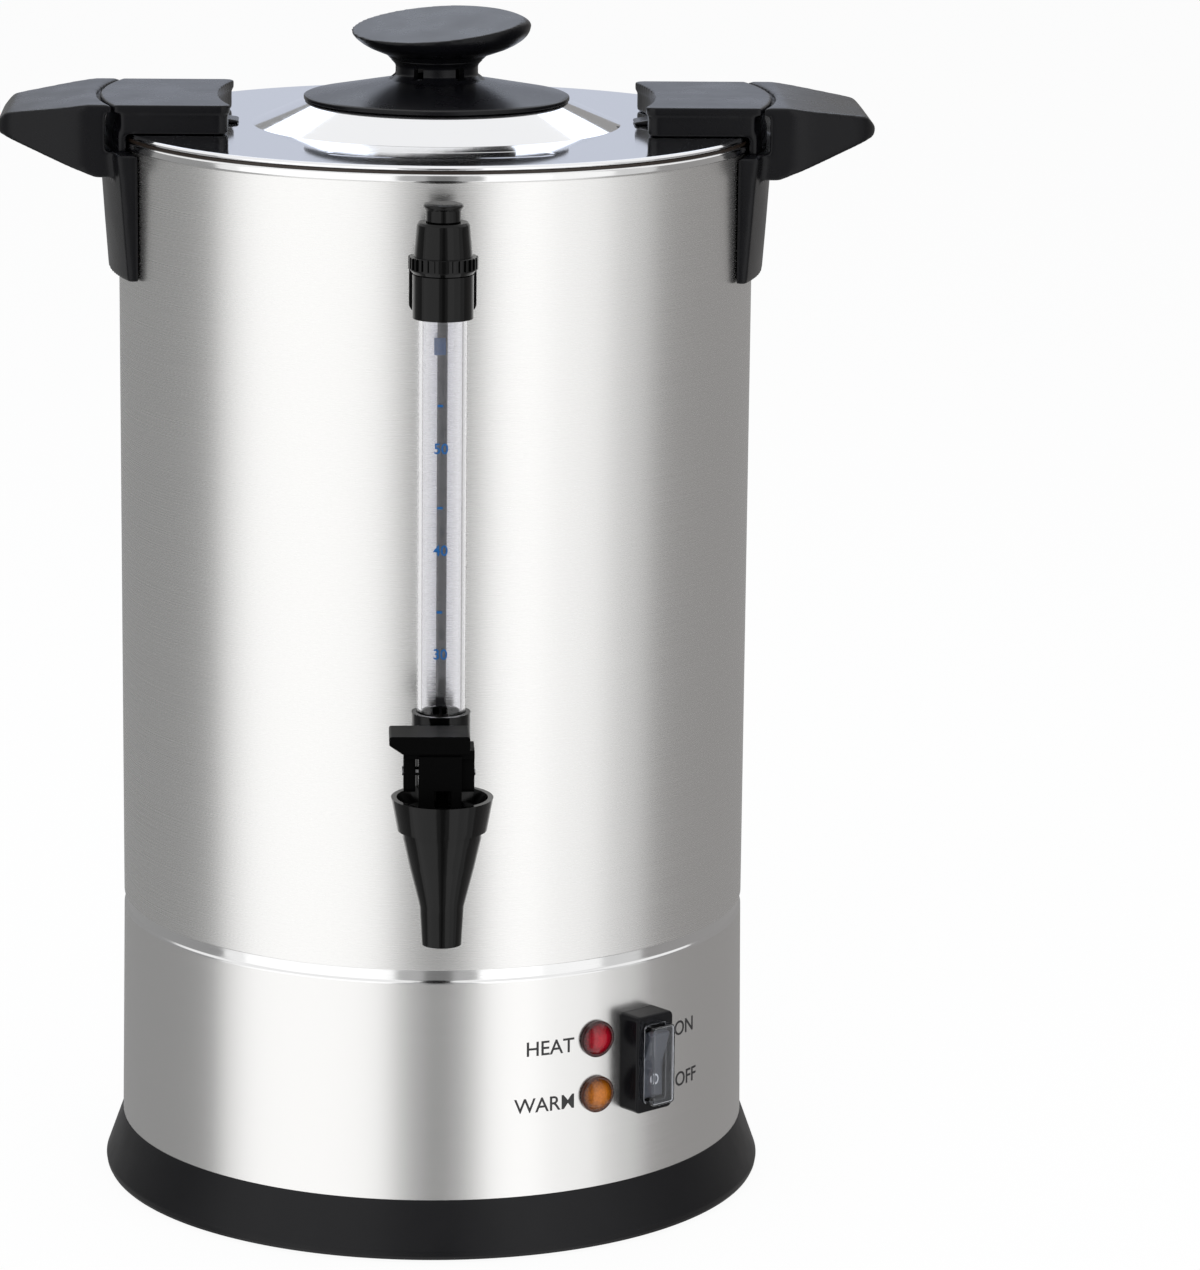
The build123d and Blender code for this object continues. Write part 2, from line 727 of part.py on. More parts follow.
def wall_washers():
    """Silicone washers where the tap, the gauge's stud and the handle screws pass the tank wall."""
    pieces = [rod_y(shank_flange_r, -tank_r - 3, -tank_r + 3, 0, shank_z) - tank_core()
              - rod_y(shank_r + slip, -tank_r - 5, -tank_r + 5, 0, shank_z)]
    inside = [(shank_r, tank_in_r - tap_washer_t, 0, shank_z), (stud_r, tank_in_r - stud_washer_t, 0, stud_z)]
    inside += [(handle_screw_r, tank_in_r - screw_washer_t, side, rim_z - drop)
               for side in (-90, 90) for drop in handle_screw_drops]
    for radius, face, azimuth, z in inside:
        washer = rod_y(radius * 1.15 + 2.5, -tank_in_r - 1, -face, 0, z) & tank_bore()
        washer -= rod_y(radius + slip, -tank_in_r - 5, -face + 1, 0, z)
        pieces.append(Rot(0, 0, azimuth) * washer)
    return group(*pieces)


def tap_nut():
    face = -tank_in_r + tap_washer_t
    nut = Pos(0, face, shank_z) * Rot(-90, 0, 0) * hexagon(21.0, 0, 6.0)
    return nut - rod_y(shank_r + weld_gap, face - 1, face + 8, 0, shank_z)


def tap_body():
    """Cone and open cup in one moulding, with the valve chamber and the spout inside."""
    z = shank_z
    outer = lathe((0, z + spout_foot), (spout_r, z + spout_foot), (cone_low[0], z + cone_low[1]),
                  (cone_mid[0], z + cone_mid[1]), (cone_r, z + cup_foot - 2.6), (cone_r, z + cup_foot),
                  (cup_foot_r, z + cup_foot), (cup_r, z + cup_rim), (0, z + cup_rim))
    cup = lathe((0, bonnet_foot_z), (cup_foot_r - cup_wall, bonnet_foot_z), (cup_r - cup_wall, z + cup_rim),
                (cup_r - cup_wall, z + cup_rim + 1), (0, z + cup_rim + 1))
    body = Pos(0, tap_y, 0) * outer + rod_y(spigot_r(), tap_y, tap_y + cone_r + spigot_len(), 0, z)
    body -= Pos(0, tap_y, 0) * cup
    cavity = lathe((0, z + spout_foot - 1), (spout_bore_r, z + spout_foot - 1),
                   (spout_bore_r, chamber_z - seat_depth), (chamber_r, chamber_z),
                   (chamber_r, bonnet_foot_z + 1), (0, bonnet_foot_z + 1))
    body -= Pos(0, tap_y, 0) * cavity
    body -= rod_y(shank_bore_r, tap_y + 5, tap_y + cone_r + 20, 0, z)
    return body


def tap_bonnet():
    """Screwed-in cover of the valve chamber; the stem slides through it."""
    play = 0.06
    plate = lathe((stem_r + play, bonnet_foot_z), (cup_foot_r - cup_wall - 0.1, bonnet_foot_z),
                  (cup_foot_r - cup_wall - 0.1, bonnet_top_z), (stem_r + play, bonnet_top_z))
    return Pos(0, tap_y, 0) * plate


def valve_top():
    return chamber_z + valve_h


def tap_spring():
    """Presses the valve down on its seat."""
    low, high = valve_top() + spring_wire / 2, bonnet_foot_z - spring_wire / 2
    path = Helix(pitch=(high - low) / spring_turns, height=high - low, radius=spring_r)
    start = path @ 0
    section = Plane(origin=start, z_dir=path % 0) * Circle(spring_wire / 2 - 0.02)
    coil = sweep(section, path=path)
    return Pos(0, tap_y, low) * coil


def tap_stem():
    """Valve stem with its cross head; it rises when the lever is pulled."""
    head = rod_x(head_r, cheek_left[1] + 1.0, cheek_right[0] - 0.3, tap_y, pin_z)
    rod = disc(stem_r, valve_top() - 3, pin_z - head_r + 1, (0, tap_y))
    bore = rod_x(pin_r + weld_gap, -30, 30, tap_y, pin_z)
    return head + rod - bore


def valve_cup():
    """Silicone cone that closes the spout."""
    gap = valve_gap
    low = chamber_z - seat_depth + 1.0
    slope = (chamber_r - spout_bore_r) / seat_depth
    low_r = spout_bore_r + slope * 1.0 - gap * 1.5
    high_r = low_r + slope * 2.2
    cone = lathe((0, low), (low_r, low), (high_r, low + 2.2), (valve_r, valve_top() - 1.5),
                 (valve_r, valve_top()), (0, valve_top()))
    return Pos(0, tap_y, 0) * (cone - disc(stem_r + weld_gap, valve_top() - 3 - slip, valve_top() + 1))


def lever_pin():
    return rod_x(pin_r, cheek_left[0] - 0.4, cheek_right[1] + 0.4, tap_y, pin_z)


def tap_lever():
    """Paddle on two cheeks; its forked toe bears on the bonnet and lifts the stem."""
    foot = lever_foot_z
    top = foot + lever_t
    left, right = lever_left, lever_right
    front, back = tap_y - lever_half_d, tap_y + lever_half_d
    outline = [(left, foot + 3.0), (left + 4.4, foot), (right, foot), (right, top), (left, top)]
    face = make_face(FilletPolyline(*outline, radius=[0.6, 0.8, 0.8, 0.9, 0.9], close=True))
    paddle = Pos(0, tap_y, 0) * extrude(Plane.XZ * face, amount=lever_half_d, both=True)
    bridge_foot = pin_z + head_r + head_play
    body = paddle + block((cheek_left[0], cheek_right[1]), (front + 1.5, back - 1.5), (bridge_foot, foot + 1))
    for low, high in (cheek_left, cheek_right):
        cheek = block((low, high), (tap_y - 5, tap_y + 5), (cheek_foot_z, bridge_foot + 1))
        body += fillet(cheek.edges().filter_by(Axis.X), 1.6)
    tongue_back = tap_y - head_r - head_play
    body += block((cheek_left[1] + 1.0, cheek_right[0]), (tongue_back - 2.2, tongue_back),
                  (toe_foot_z, bridge_foot + 1))
    body -= block((-stem_r - 0.6, stem_r + 0.6), (front - 1, tongue_back + 1),
                  (toe_foot_z - 1, pin_z - head_r))
    body -= rod_x(pin_r + 0.05, -40, 40, tap_y, pin_z)
    return body


# ---------------------------------------------------------------- heating
def heater_plate():
    return ring(plate_out_r, plate_in_r, plate_z, floor_under_z)


def heater_element():
    """Sheathed element, brazed under the plate, with two cold tails."""
    sweep_angle = 310
    circle = Pos(element_ring_r, 0, element_z) * Rot(90, 0, 0) * Circle(element_r)
    body = revolve(circle, axis=Axis.Z, revolution_arc=sweep_angle)
    for angle in (0, sweep_angle):
        tail = disc(element_r, element_z - tail_len, element_z, (element_ring_r, 0))
        pin = disc(cold_pin_r, element_z - pin_len, element_z - tail_len + 1, (element_ring_r, 0))
        body += Rot(0, 0, angle) * (tail + pin)
    return Rot(0, 0, 25 - 90) * body


def warming_element():
    """Mica disc heater under the well, which keeps the coffee warm."""
    body = ring(mica_r, tie_r + slip, mica_z, well_under_z)
    for side in (-1, 1):
        body += block((-3, 3), sorted((side * (mica_r - 2), side * (mica_r + 7))), (mica_z, mica_z + 0.8))
    return body


def heater_bracket():
    """Strap on the tie rod that presses both heaters up against the tank's floor."""
    body = block((-bracket_half_len, bracket_half_len), (-bracket_half_w, bracket_half_w),
                 (bracket_z, mica_z))
    body = fillet(body.edges().filter_by(Axis.Z), 4)
    pad_top = element_z - element_r
    for side in (-1, 1):
        x = side * element_ring_r
        body += block((x - 5, x + 5), (-bracket_half_w + 2, bracket_half_w - 2), (mica_z - 1, pad_top))
    return body - disc(tie_r + slip, bracket_z - 1, mica_z + 1)


def tie_rod():
    """Stud welded under the well; its lower nut draws the whole base together."""
    return disc(tie_r, cover_z - nut_h, well_under_z)


def tie_nuts():
    tops = (bracket_z, shield_z, cover_z)
    nuts = [hexagon(nut_flats, top - nut_h + 0.2, top) - disc(tie_r + weld_gap, top - 10, top + 1)
            for top in tops]
    return group(*nuts)


def heat_shield():
    rim = shield_z - shield_rim
    body = lathe((tie_r + slip, shield_z), (tie_r + slip, shield_z + sheet), (shield_r, shield_z + sheet),
                 (shield_r, rim), (shield_r - sheet, rim), (shield_r - sheet, shield_z))
    openings = [Rot(0, 0, 45 + 90 * n) * disc(shield_hole_r, shield_z - 1, shield_z + 2,
                                          (shield_hole_x, 0)) for n in range(4)]
    return body - openings


def thermostats():
    pieces = []
    for side in (-1, 1):
        x = side * thermostat_x
        foot = floor_under_z - thermostat_h
        body = disc(thermostat_r, foot, floor_under_z, (x, 0))
        body += disc(thermostat_r + thermostat_rim, floor_under_z - 1.2, floor_under_z, (x, 0))
        for tab_y in (-tab_apart / 2, tab_apart / 2):
            body += block((x - tab_w / 2, x + tab_w / 2), (tab_y - tab_t / 2, tab_y + tab_t / 2),
                          (foot - tab_len, foot + 1))
        pieces.append(body)
    return group(*pieces)


def thermal_fuse():
    z = plate_z - fuse_r
    body = rod_y(fuse_r, -fuse_len / 2, fuse_len / 2, fuse_x, z)
    return body + rod_y(0.6, -fuse_len / 2 - 7, fuse_len / 2 + 7, fuse_x, z)


def terminal_block():
    x, y = block_at
    body = block((x - block_len / 2, x + block_len / 2), (y - block_w / 2, y + block_w / 2),
                 (cover_top_z, cover_top_z + block_h))
    body = fillet(body.edges().filter_by(Axis.Z), 1.5)
    pitch = block_len / 4
    for n in range(4):
        at = (x + (n - 1.5) * pitch, y)
        body -= disc(2.4, cover_top_z + block_h - 3, cover_top_z + block_h + 1, at)
        body += disc(1.9, cover_top_z + block_h - 3.5, cover_top_z + block_h - 1, at)
    return body


# ---------------------------------------------------------------- lamps, switch and inlet
def lamp_lens(z):
    """Domed jewel with a rim and a stem that passes through the skirt."""
    seat = 0.15
    rim = seat + 1.3
    dome_h = lamp_rise - rim
    sphere_r = (lamp_dome_r**2 + dome_h**2) / (2 * dome_h)
    lens = Pos(0, 0, lamp_rise - sphere_r) * Sphere(sphere_r) & disc(lamp_dome_r, seat, lamp_rise + 1)
    lens += lathe((0, -6), (lamp_stem_r, -6), (lamp_stem_r, seat), (lamp_rim_r, seat),
                  (lamp_rim_r, rim - 0.3), (lamp_rim_r - 0.4, rim), (0, rim))
    return on_wall(lamp_azimuth, skirt_r(z), z) * lens


def lamp_housings():
    pieces = []
    for z in lamp_z:
        front = -sheet - 0.55
        body = lathe((lamp_stem_r + slip, front), (lamp_body_r, front), (lamp_body_r, front - lamp_body_len),
                     (0, front - lamp_body_len), (0, -6.3), (lamp_stem_r + slip, -6.3))
        for x in (-2.6, 2.6):
            body += block((x - 0.4, x + 0.4), (-2.2, 2.2),
                          (front - lamp_body_len - 7, front - lamp_body_len + 1))
        pieces.append(on_wall(lamp_azimuth, skirt_r(z), z) * body)
    return group(*pieces)


def switch_place():
    return on_wall(switch_azimuth, skirt_r(switch_z), switch_z)


def switch_body():
    """Frame and rear body of the rocker switch."""
    frame_box = Pos(0, 0, switch_out / 2 - 1) * Box(switch_w, switch_h, switch_out + 2)
    frame_box = fillet(frame_box.edges().filter_by(Axis.Z), 2.0)
    frame_box = fillet(frame_box.faces().sort_by(Axis.Z)[-1].edges(), 0.9)
    frame_box = switch_place() * frame_box - skirt_core(seat_gap)
    rear = Pos(0, 0, -switch_body_len / 2 + 1) * Box(switch_body_w, switch_body_h, switch_body_len + 2)
    slot_depth = 10.5
    slot = Pos(0, 0, switch_out - slot_depth / 2 + 0.5) * Box(switch_slot_w, switch_slot_h, slot_depth + 1)
    body = frame_box + switch_place() * rear - switch_place() * slot
    for x in (-1, 1):
        stub_x = sorted((x * (rocker_w / 2 - 1.0), x * (switch_slot_w / 2 + 0.5)))
        body += switch_place() * rod_x(1.2, *stub_x, 0, rocker_pivot_out)
    tab_z = -switch_body_len
    for x in (-3.4, 3.4):
        for y in (-8.5, 0, 8.5):
            body += switch_place() * block((x - 0.4, x + 0.4), (y - 2.4, y + 2.4), (tab_z - 8, tab_z + 1))
    return body


def rocker():
    """Rocker with a hollow front, shown with its lower end pressed in."""
    half = rocker_half_len
    profile = [(-half, rocker_end_rise), (0, rocker_mid_rise), (half, rocker_end_rise), (half, 3.4),
               (3.6, -1.6), (1.6, -3.2), (-1.6, -3.2), (-3.6, -1.6), (-half, 3.4)]
    face = make_face(FilletPolyline(*profile, radius=[0.8, 12, 0.8, 0.8, 1, 1, 1, 1, 0.8], close=True))
    body = extrude(Plane.YZ * face, amount=rocker_w / 2, both=True)
    for x in (-1, 1):
        stub_x = sorted((x * (rocker_w / 2 - 1.1), x * (rocker_w / 2 + 1)))
        body -= rod_x(1.2 + 0.06, *stub_x, 0, 0)
    tilted = Rot(rocker_tilt, 0, 0) * body
    return switch_place() * Pos(0, 0, rocker_pivot_out) * tilted


def switch_hood():
    """Clear splash hood over the rocker."""
    low, high = switch_out, switch_out + hood_out
    outer = Pos(0, 0, (low + high) / 2) * Box(hood_w, hood_h, hood_out)
    outer = fillet(outer.edges().filter_by(Axis.Z), 1.6)
    outer = fillet(outer.faces().sort_by(Axis.Z)[-1].edges(), 1.0)
    inner = Pos(0, 0, (low + high) / 2 - hood_wall) * Box(
        hood_w - 2 * hood_wall, hood_h - 2 * hood_wall, hood_out)
    inner = fillet(inner.edges().filter_by(Axis.Z), 0.9)
    return switch_place() * (outer - inner)


def inlet_place():
    return on_wall(180, skirt_r(inlet_z), inlet_z)


def mains_inlet():
    """Recessed socket for a loose mains lead."""
    flange = Pos(0, 0, inlet_out / 2 - 1.5) * Box(inlet_w, inlet_h, inlet_out + 3)
    flange = fillet(flange.edges().filter_by(Axis.Z), 3.0)
    flange = fillet(flange.faces().sort_by(Axis.Z)[-1].edges(), 0.8)
    flange = inlet_place() * flange - skirt_core(seat_gap)
    rear = Pos(0, 0, -inlet_body_len / 2 + 1) * Box(inlet_body_w, inlet_body_h, inlet_body_len + 2)
    well_sketch = RectangleRounded(inlet_well_w, inlet_well_h, 3.5)
    well = Pos(0, 0, inlet_out - inlet_well_depth) * extrude(well_sketch, amount=inlet_well_depth + 5)
    body = flange + inlet_place() * rear - inlet_place() * well
    for x, y in inlet_pin_places():
        body -= inlet_place() * Pos(x, y, -15) * Box(2.1, 4.1, 20)
    return body


def inlet_pin_places():
    return [(-7.0, -2.0), (0.0, 2.0), (7.0, -2.0)]


def inlet_pins():
    pins = []
    for x, y in inlet_pin_places():
        blade = Pos(x, y, 0) * block((-1, 1), (-2, 2), (-inlet_body_len - 8, inlet_out - 3))
        pins.append(inlet_place() * fillet(blade.faces().sort_by(Axis.Y)[0].edges(), 0.3))
    return group(*pins)


# ---------------------------------------------------------------- lid
def lid_seal():
    """Silicone ring between lid and rim; its lip centres the lid in the tank."""
    lip_r = tank_in_r - seal_play
    return lathe((lip_r - 3.2, hem_z), (bead_r - 0.9, hem_z), (bead_r - 0.9, rim_z), (lip_r, rim_z),
                 (lip_r, rim_z - 3.7), (lip_r - 1.0, rim_z - 3.7), (lip_r - 1.0, rim_z),
                 (lip_r - 3.2, rim_z))


def lid_shell():
    """Pressed lid: flat flange, cone up to the knob's disc, rolled hem, plain raised panel."""
    top, flat = lid_top_z, flange_top_z
    hole = knob_screw_r + 0.2
    under = lid_top_z - sheet
    body = lathe((hole, top), (lid_cone_top_r, top), (lid_cone_foot_r, flat), (lid_r - 1.2, flat),
                 (lid_r - 0.3, flat - 0.35), (lid_r, flat - hem_h / 2), (lid_r - 0.3, hem_z + 0.3),
                 (lid_r - 0.8, hem_z), (lid_r - hem_in, hem_z), (lid_r - hem_in, flat - sheet),
                 (lid_cone_foot_r - sheet / 2, flat - sheet), (lid_cone_top_r - sheet / 2, under),
                 (hole, under))
    body -= [Rot(0, 0, 45 + 90 * n) * disc(2, under - 1, top + 1, (7.6, 0)) for n in range(4)]
    body += raised_panel()
    for side in (0, 180):
        for y in (-ear_screw_y, ear_screw_y):
            body -= Rot(0, 0, side) * disc(ear_screw_r + slip, flat - 3, flat + 1, (ear_screw_x, y))
    return body


def raised_panel():
    """Plain stadium, bent round the lid's axis."""
    low, high = flange_top_z - sheet / 2, flange_top_z + panel_h
    section = Pos(panel_r, 0, (low + high) / 2) * Rot(90, 0, 0) * Rectangle(2 * panel_half_w, high - low)
    strip = Rot(0, 0, -90 - panel_half_angle) * revolve(
        section, axis=Axis.Z, revolution_arc=2 * panel_half_angle)
    ends = [Rot(0, 0, -90 + side * panel_half_angle) * disc(panel_half_w, low, high, (panel_r, 0))
            for side in (-1, 1)]
    return strip + ends


def ear():
    """Right-hand lug on the lid, which the hand turns to lock and unlock it."""
    low, high = flange_top_z, ear_top_z
    plan = Pos(ear_r, 0) * Rectangle(2 * (ear_r - 60), 2 * ear_half_w)
    plan &= Circle(ear_r)
    plan -= Pos(ear_inner_x - ear_hollow_r, 0) * Circle(ear_hollow_r)
    inner = plan.vertices().sort_by(Axis.X)[:2]
    plan = fillet(inner, ear_round)
    body = Pos(0, 0, low) * extrude(plan, amount=high - low)
    inner_lip = bead_r + 0.4
    lip = Pos(0, 0, rim_z - ear_drop + 2.5) * extrude(plan, amount=low - rim_z + ear_drop - 2.0)
    body += lip - disc(inner_lip, 0, low)
    tail_x = ear_inner_x - ear_tail
    tail = Polyline((tail_x, low), (tail_x, low + ear_tail_h), (ear_inner_x + 1, low + 2.5 * ear_tail_h),
                    (ear_inner_x + 1, low), close=True)
    body += extrude(Plane.XZ * make_face(tail), amount=ear_tail_half_w, both=True)
    body = fillet(body.faces().sort_by(Axis.Z)[-1].edges(), ear_edge)
    for y in (-ear_screw_y, ear_screw_y):
        body -= disc(ear_screw_r + weld_gap, low - 1, low + ear_screw_grip, (ear_screw_x, y))
    return body


def ear_screws():
    head_top = flange_top_z - sheet
    pieces = []
    for side in (0, 180):
        for y in (-ear_screw_y, ear_screw_y):
            at = (ear_screw_x, y)
            screw = disc(2 * ear_screw_r, head_top - 2, head_top, at)
            screw += disc(ear_screw_r, head_top - 1, head_top + ear_screw_grip, at)
            slot = block((at[0] - 1.9, at[0] + 1.9), (y - 0.35, y + 0.35), (head_top - 3, head_top - 1.3))
            pieces.append(Rot(0, 0, side) * (screw - slot))
    return group(*pieces)


def knob_skirt():
    """Disc and hollow neck, with windows that let the steam out."""
    low = lid_top_z
    edge = low + knob_disc_edge
    shoulder_r, shoulder_z = knob_neck_r + 3.4, edge + 4.2
    outline = (Polyline((knob_bore_r, low), (knob_disc_r, low), (knob_disc_r, edge - 0.4),
                        (knob_disc_r - 0.6, edge), (shoulder_r, shoulder_z))
               + ThreePointArc((shoulder_r, shoulder_z), (knob_neck_r + 0.7, shoulder_z + 1.1),
                               (knob_neck_r, knob_neck_z))
               + ThreePointArc((knob_neck_r, knob_neck_z), (knob_neck_r + 0.4, knob_neck_z + 2.4),
                               (knob_seat_r, knob_seat_z))
               + Polyline((knob_seat_r, knob_seat_z), (knob_bore_r, knob_seat_z), (knob_bore_r, low)))
    body = revolve(Plane.XZ * make_face(outline), axis=Axis.Z)
    window_z = knob_neck_z - window_h / 2 + 0.2
    window = block((knob_bore_r - 2, knob_neck_r + 6), (-window_w / 2, window_w / 2),
                   (window_z - window_h / 2, window_z + window_h / 2))
    return body - [Rot(0, 0, (n + 0.5) * 360 / window_count + 33) * window for n in range(window_count)]


def knob_cap():
    """Oval mushroom cap on the hollow neck."""
    rim_rise = knob_cap_rim_z - knob_seat_z
    crown_rise = knob_cap_top_z - knob_cap_rim_z
    levels = [(0.0, knob_seat_r, knob_seat_r), (0.34 * rim_rise, 22.5, 19.6),
              (0.70 * rim_rise, 28.6, 22.9), (rim_rise, knob_cap_rx, knob_cap_ry),
              (rim_rise + 0.45 * crown_rise, 28.4, 21.4), (rim_rise + 0.80 * crown_rise, 20.5, 15.2),
              (rim_rise + crown_rise, 8.0, 6.0)]
    sections = [Pos(1.2 * min(1, rise / rim_rise), 0, knob_seat_z + rise) * Ellipse(rx, ry + 0.01)
                for rise, rx, ry in levels]
    body = loft(sections)
    body -= disc(knob_screw_r + weld_gap, knob_seat_z - 1, knob_seat_z + 10.5)
    return body


def knob_screw():
    under = lid_top_z - sheet
    head = lathe((0, under - 3), (4.4, under - 3), (5.4, under - 1.6), (5.4, under), (0, under))
    shank = disc(knob_screw_r, under - 1, knob_seat_z + 10)
    slot = block((-3.4, 3.4), (-0.5, 0.5), (under - 4, under - 1.9))
    return head + shank - slot


# ---------------------------------------------------------------- percolator
def pump_foot():
    """Scalloped cup that traps the boiling water under the tube."""
    low, high = pump_z, pump_z + pump_foot_h
    wall = 0.8
    body = lathe((pump_r, low), (pump_foot_seat_r, low), (pump_foot_seat_r + 1.2, low + 0.6),
                 (pump_foot_r, high), (pump_foot_r - wall, high), (pump_foot_seat_r, low + 1.4),
                 (pump_r + 2.0, low + 1.4), (pump_r + 2.0, low + 4), (pump_r, low + 4))
    notch = Pos(pump_foot_r - 0.5, 0, high) * Rot(0, 90, 0) * Cylinder(2.3, 12)
    body -= [Rot(0, 0, n * 360 / pump_petals) * notch for n in range(pump_petals)]
    return body


def pump_tube():
    """Riser tube with the stop that carries the basket."""
    low = pump_z + 1.6
    stop = ring(stop_r, pump_r - 0.3, basket_z - stop_h, basket_z)
    body = ring(pump_r - slip / 2, pump_bore_r, low, tube_top_z)
    return body + stop


def basket():
    """Straight-sided coffee basket with rolled rows round its wall and perforated petals in its floor."""
    low, high = basket_z, basket_z + basket_h
    wall = basket_r - bead_row_r
    body = lathe((pump_r + slip, low), (wall - 2, low), (wall, low + 2), (wall, high),
                 (wall - basket_wall, high), (wall - basket_wall, low + 2.4), (wall - 2.4, low + basket_wall),
                 (pump_r + slip, low + basket_wall))
    pitch = basket_h / (bead_rows + 1)
    for n in range(bead_rows):
        z = low + pitch * (n + 0.7)
        bead = Pos(wall - basket_wall / 2, 0, z) * Rot(90, 0, 0) * Circle(bead_row_r + basket_wall / 2)
        rolled = revolve(bead, axis=Axis.Z)
        body += rolled - disc(wall - basket_wall, z - 3, z + 3)
    rim_bead = Pos(wall, 0, high - 0.9) * Rot(90, 0, 0) * Circle(0.9)
    body += revolve(rim_bead, axis=Axis.Z)
    return body - basket_holes()


def basket_holes():
    """Round holes on arcs inside each petal of the floor."""
    holes = []
    step_r = (petal_out_r - petal_in_r) / (hole_rows - 1)
    for row in range(hole_rows):
        radius = petal_in_r + row * step_r
        half = radians(petal_angle / 2)
        count = max(1, int(2 * half * radius / hole_pitch))
        for petal in range(petals):
            for n in range(count):
                angle = petal * 360 / petals + (n - (count - 1) / 2) * petal_angle / count
                hole = disc(hole_r, basket_z - 1, basket_z + 2, (radius, 0))
                holes.append(Rot(0, 0, angle) * hole)
    return holes


def spray_cap():
    """Disc over the tube's mouth, on two legs and a collar."""
    top = spray_top_z
    collar_low = tube_top_z - collar_drop
    body = disc(spray_r, top - spray_t, top) + lathe(
        (0, top - spray_t - 3), (3, top - spray_t - 3 + 1.5), (9, top - spray_t), (0, top - spray_t))
    body -= disc(pump_r + 1.4, top - 2 * spray_over, top - spray_t - 1.2)
    body += ring(pump_r + collar_wall, pump_r, collar_low, collar_low + collar_h)
    for side in (0, 180):
        leg_r = spray_r - spray_leg_in
        leg = make_face(Polyline((pump_r + 0.2, collar_low + 2), (pump_r + collar_wall, collar_low + 2),
                                 (leg_r, top - spray_t + 0.1), (leg_r - 1.2, top - spray_t + 0.1),
                                 (pump_r + 0.2, collar_low + 4), close=True))
        body += Rot(0, 0, side + 20) * extrude(Plane.XZ * leg, amount=2.2, both=True)
    body -= disc(pump_r - slip / 2 + 0.02, collar_low - 1, tube_top_z + 0.2)
    return body


# ---------------------------------------------------------------- wiring
def wire(points, bend):
    path = FilletPolyline(*points, radius=bend)
    section = Plane(origin=path @ 0, z_dir=path % 0) * Circle(wire_r)
    return sweep(section, path=path)


def wiring():
    """Insulated leads between the inlet, the terminal block and the switch."""
    block_x, block_y = block_at
    top = cover_top_z + block_h
    back_y = skirt_r(inlet_z) - inlet_body_len - 8
    leads = []
    for n, (x, y) in enumerate(inlet_pin_places()):
        pin_x, height = -x, inlet_z + y
        at_x = block_x + (n - 1.5) * block_len / 4
        points = [(pin_x, back_y - slip, height), (pin_x, back_y - 12 - 3 * n, height),
                  (at_x, block_y, height - 8), (at_x, block_y, top - 0.9)]
        leads.append(wire(points, 4.5))
    a = radians(switch_azimuth)
    inner_r = skirt_r(switch_z) - switch_body_len - 8 - slip
    inward = (-sin(a), cos(a))
    for side in (-1, 1):
        x = inner_r * sin(a) + side * 3.4 * cos(a)
        y = -inner_r * cos(a) + side * 3.4 * sin(a)
        run = 14 + 4 * side
        turn = (x + run * inward[0], y + run * inward[1])
        foot_x = block_x + block_len / 2 + 8 + 5 * side
        points = [(x, y, switch_z), (turn[0], turn[1], switch_z),
                  (foot_x, block_y - 24, 30), (foot_x, block_y - 24, cover_top_z + 0.1)]
        leads.append(wire(points, 6))
    return group(*leads)


# ---------------------------------------------------------------- nodes
nodes = {
    "tank_wall": tank_wall(),
    "tank_floor": tank_floor(),
    "skirt": skirt(),
    "plinth": plinth(),
    "base_cover": base_cover(),
    "base_screws": base_screws(),
    "rubber_feet": rubber_feet(),
    "handle_right": handle(),
    "handle_left": Rot(0, 0, 180) * handle(),
    "handle_inserts": handle_inserts(),
    "handle_screws": handle_screws(),
    "gauge_tube": gauge_tube(),
    "gauge_seals": gauge_seals(),
    "gauge_barrel": gauge_barrel(),
    "gauge_saddle": gauge_saddle(),
    "gauge_nut": gauge_nut(),
    "gauge_ring": gauge_ring(),
    "gauge_cap": gauge_cap(),
    "gauge_plug": gauge_plug(),
    "tap_shank": tap_shank(),
    "wall_washers": wall_washers(),
    "tap_nut": tap_nut(),
    "tap_body": tap_body(),
    "tap_bonnet": tap_bonnet(),
    "tap_spring": tap_spring(),
    "tap_stem": tap_stem(),
    "valve_cup": valve_cup(),
    "lever_pin": lever_pin(),
    "tap_lever": tap_lever(),
    "heater_plate": heater_plate(),
    "heater_element": heater_element(),
    "warming_element": warming_element(),
    "heater_bracket": heater_bracket(),
    "tie_rod": tie_rod(),
    "tie_nuts": tie_nuts(),
    "heat_shield": heat_shield(),
    "thermostats": thermostats(),
    "thermal_fuse": thermal_fuse(),
    "terminal_block": terminal_block(),
    "wiring": wiring(),
    "amber_lens": lamp_lens(lamp_z[0]),
    "red_lens": lamp_lens(lamp_z[1]),
    "lamp_housings": lamp_housings(),
    "switch_body": switch_body(),
    "switch_rocker": rocker(),
    "switch_hood": switch_hood(),
    "mains_inlet": mains_inlet(),
    "inlet_pins": inlet_pins(),
    "lid_seal": lid_seal(),
    "lid_shell": lid_shell(),
    "ear_right": ear(),
    "ear_left": Rot(0, 0, 180) * ear(),
    "ear_screws": ear_screws(),
    "knob_skirt": knob_skirt(),
    "knob_cap": knob_cap(),
    "knob_screw": knob_screw(),
    "basket": basket(),
    "pump_tube": pump_tube(),
    "pump_foot": pump_foot(),
    "spray_cap": spray_cap(),
}

os.makedirs("parts", exist_ok=True)
for name, shape in nodes.items():
    export_step(shape, f"parts/{name}.step")
print(len(nodes), "nodes")
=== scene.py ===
# %% [markdown]
# # A percolator coffee urn
#
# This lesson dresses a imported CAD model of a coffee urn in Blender. The urn is a satin steel tank on a
# black plinth, with a polished lid, two wing handles, a sight gauge, a spring tap, two lamps and a
# rocker switch. The CAD model is a fixed frame: every piece we make sits where its CAD node sits, and
# rides on the same body, so the lid still lifts and the lever still tips when the joints move.

# %% Load the frame
import json
import math

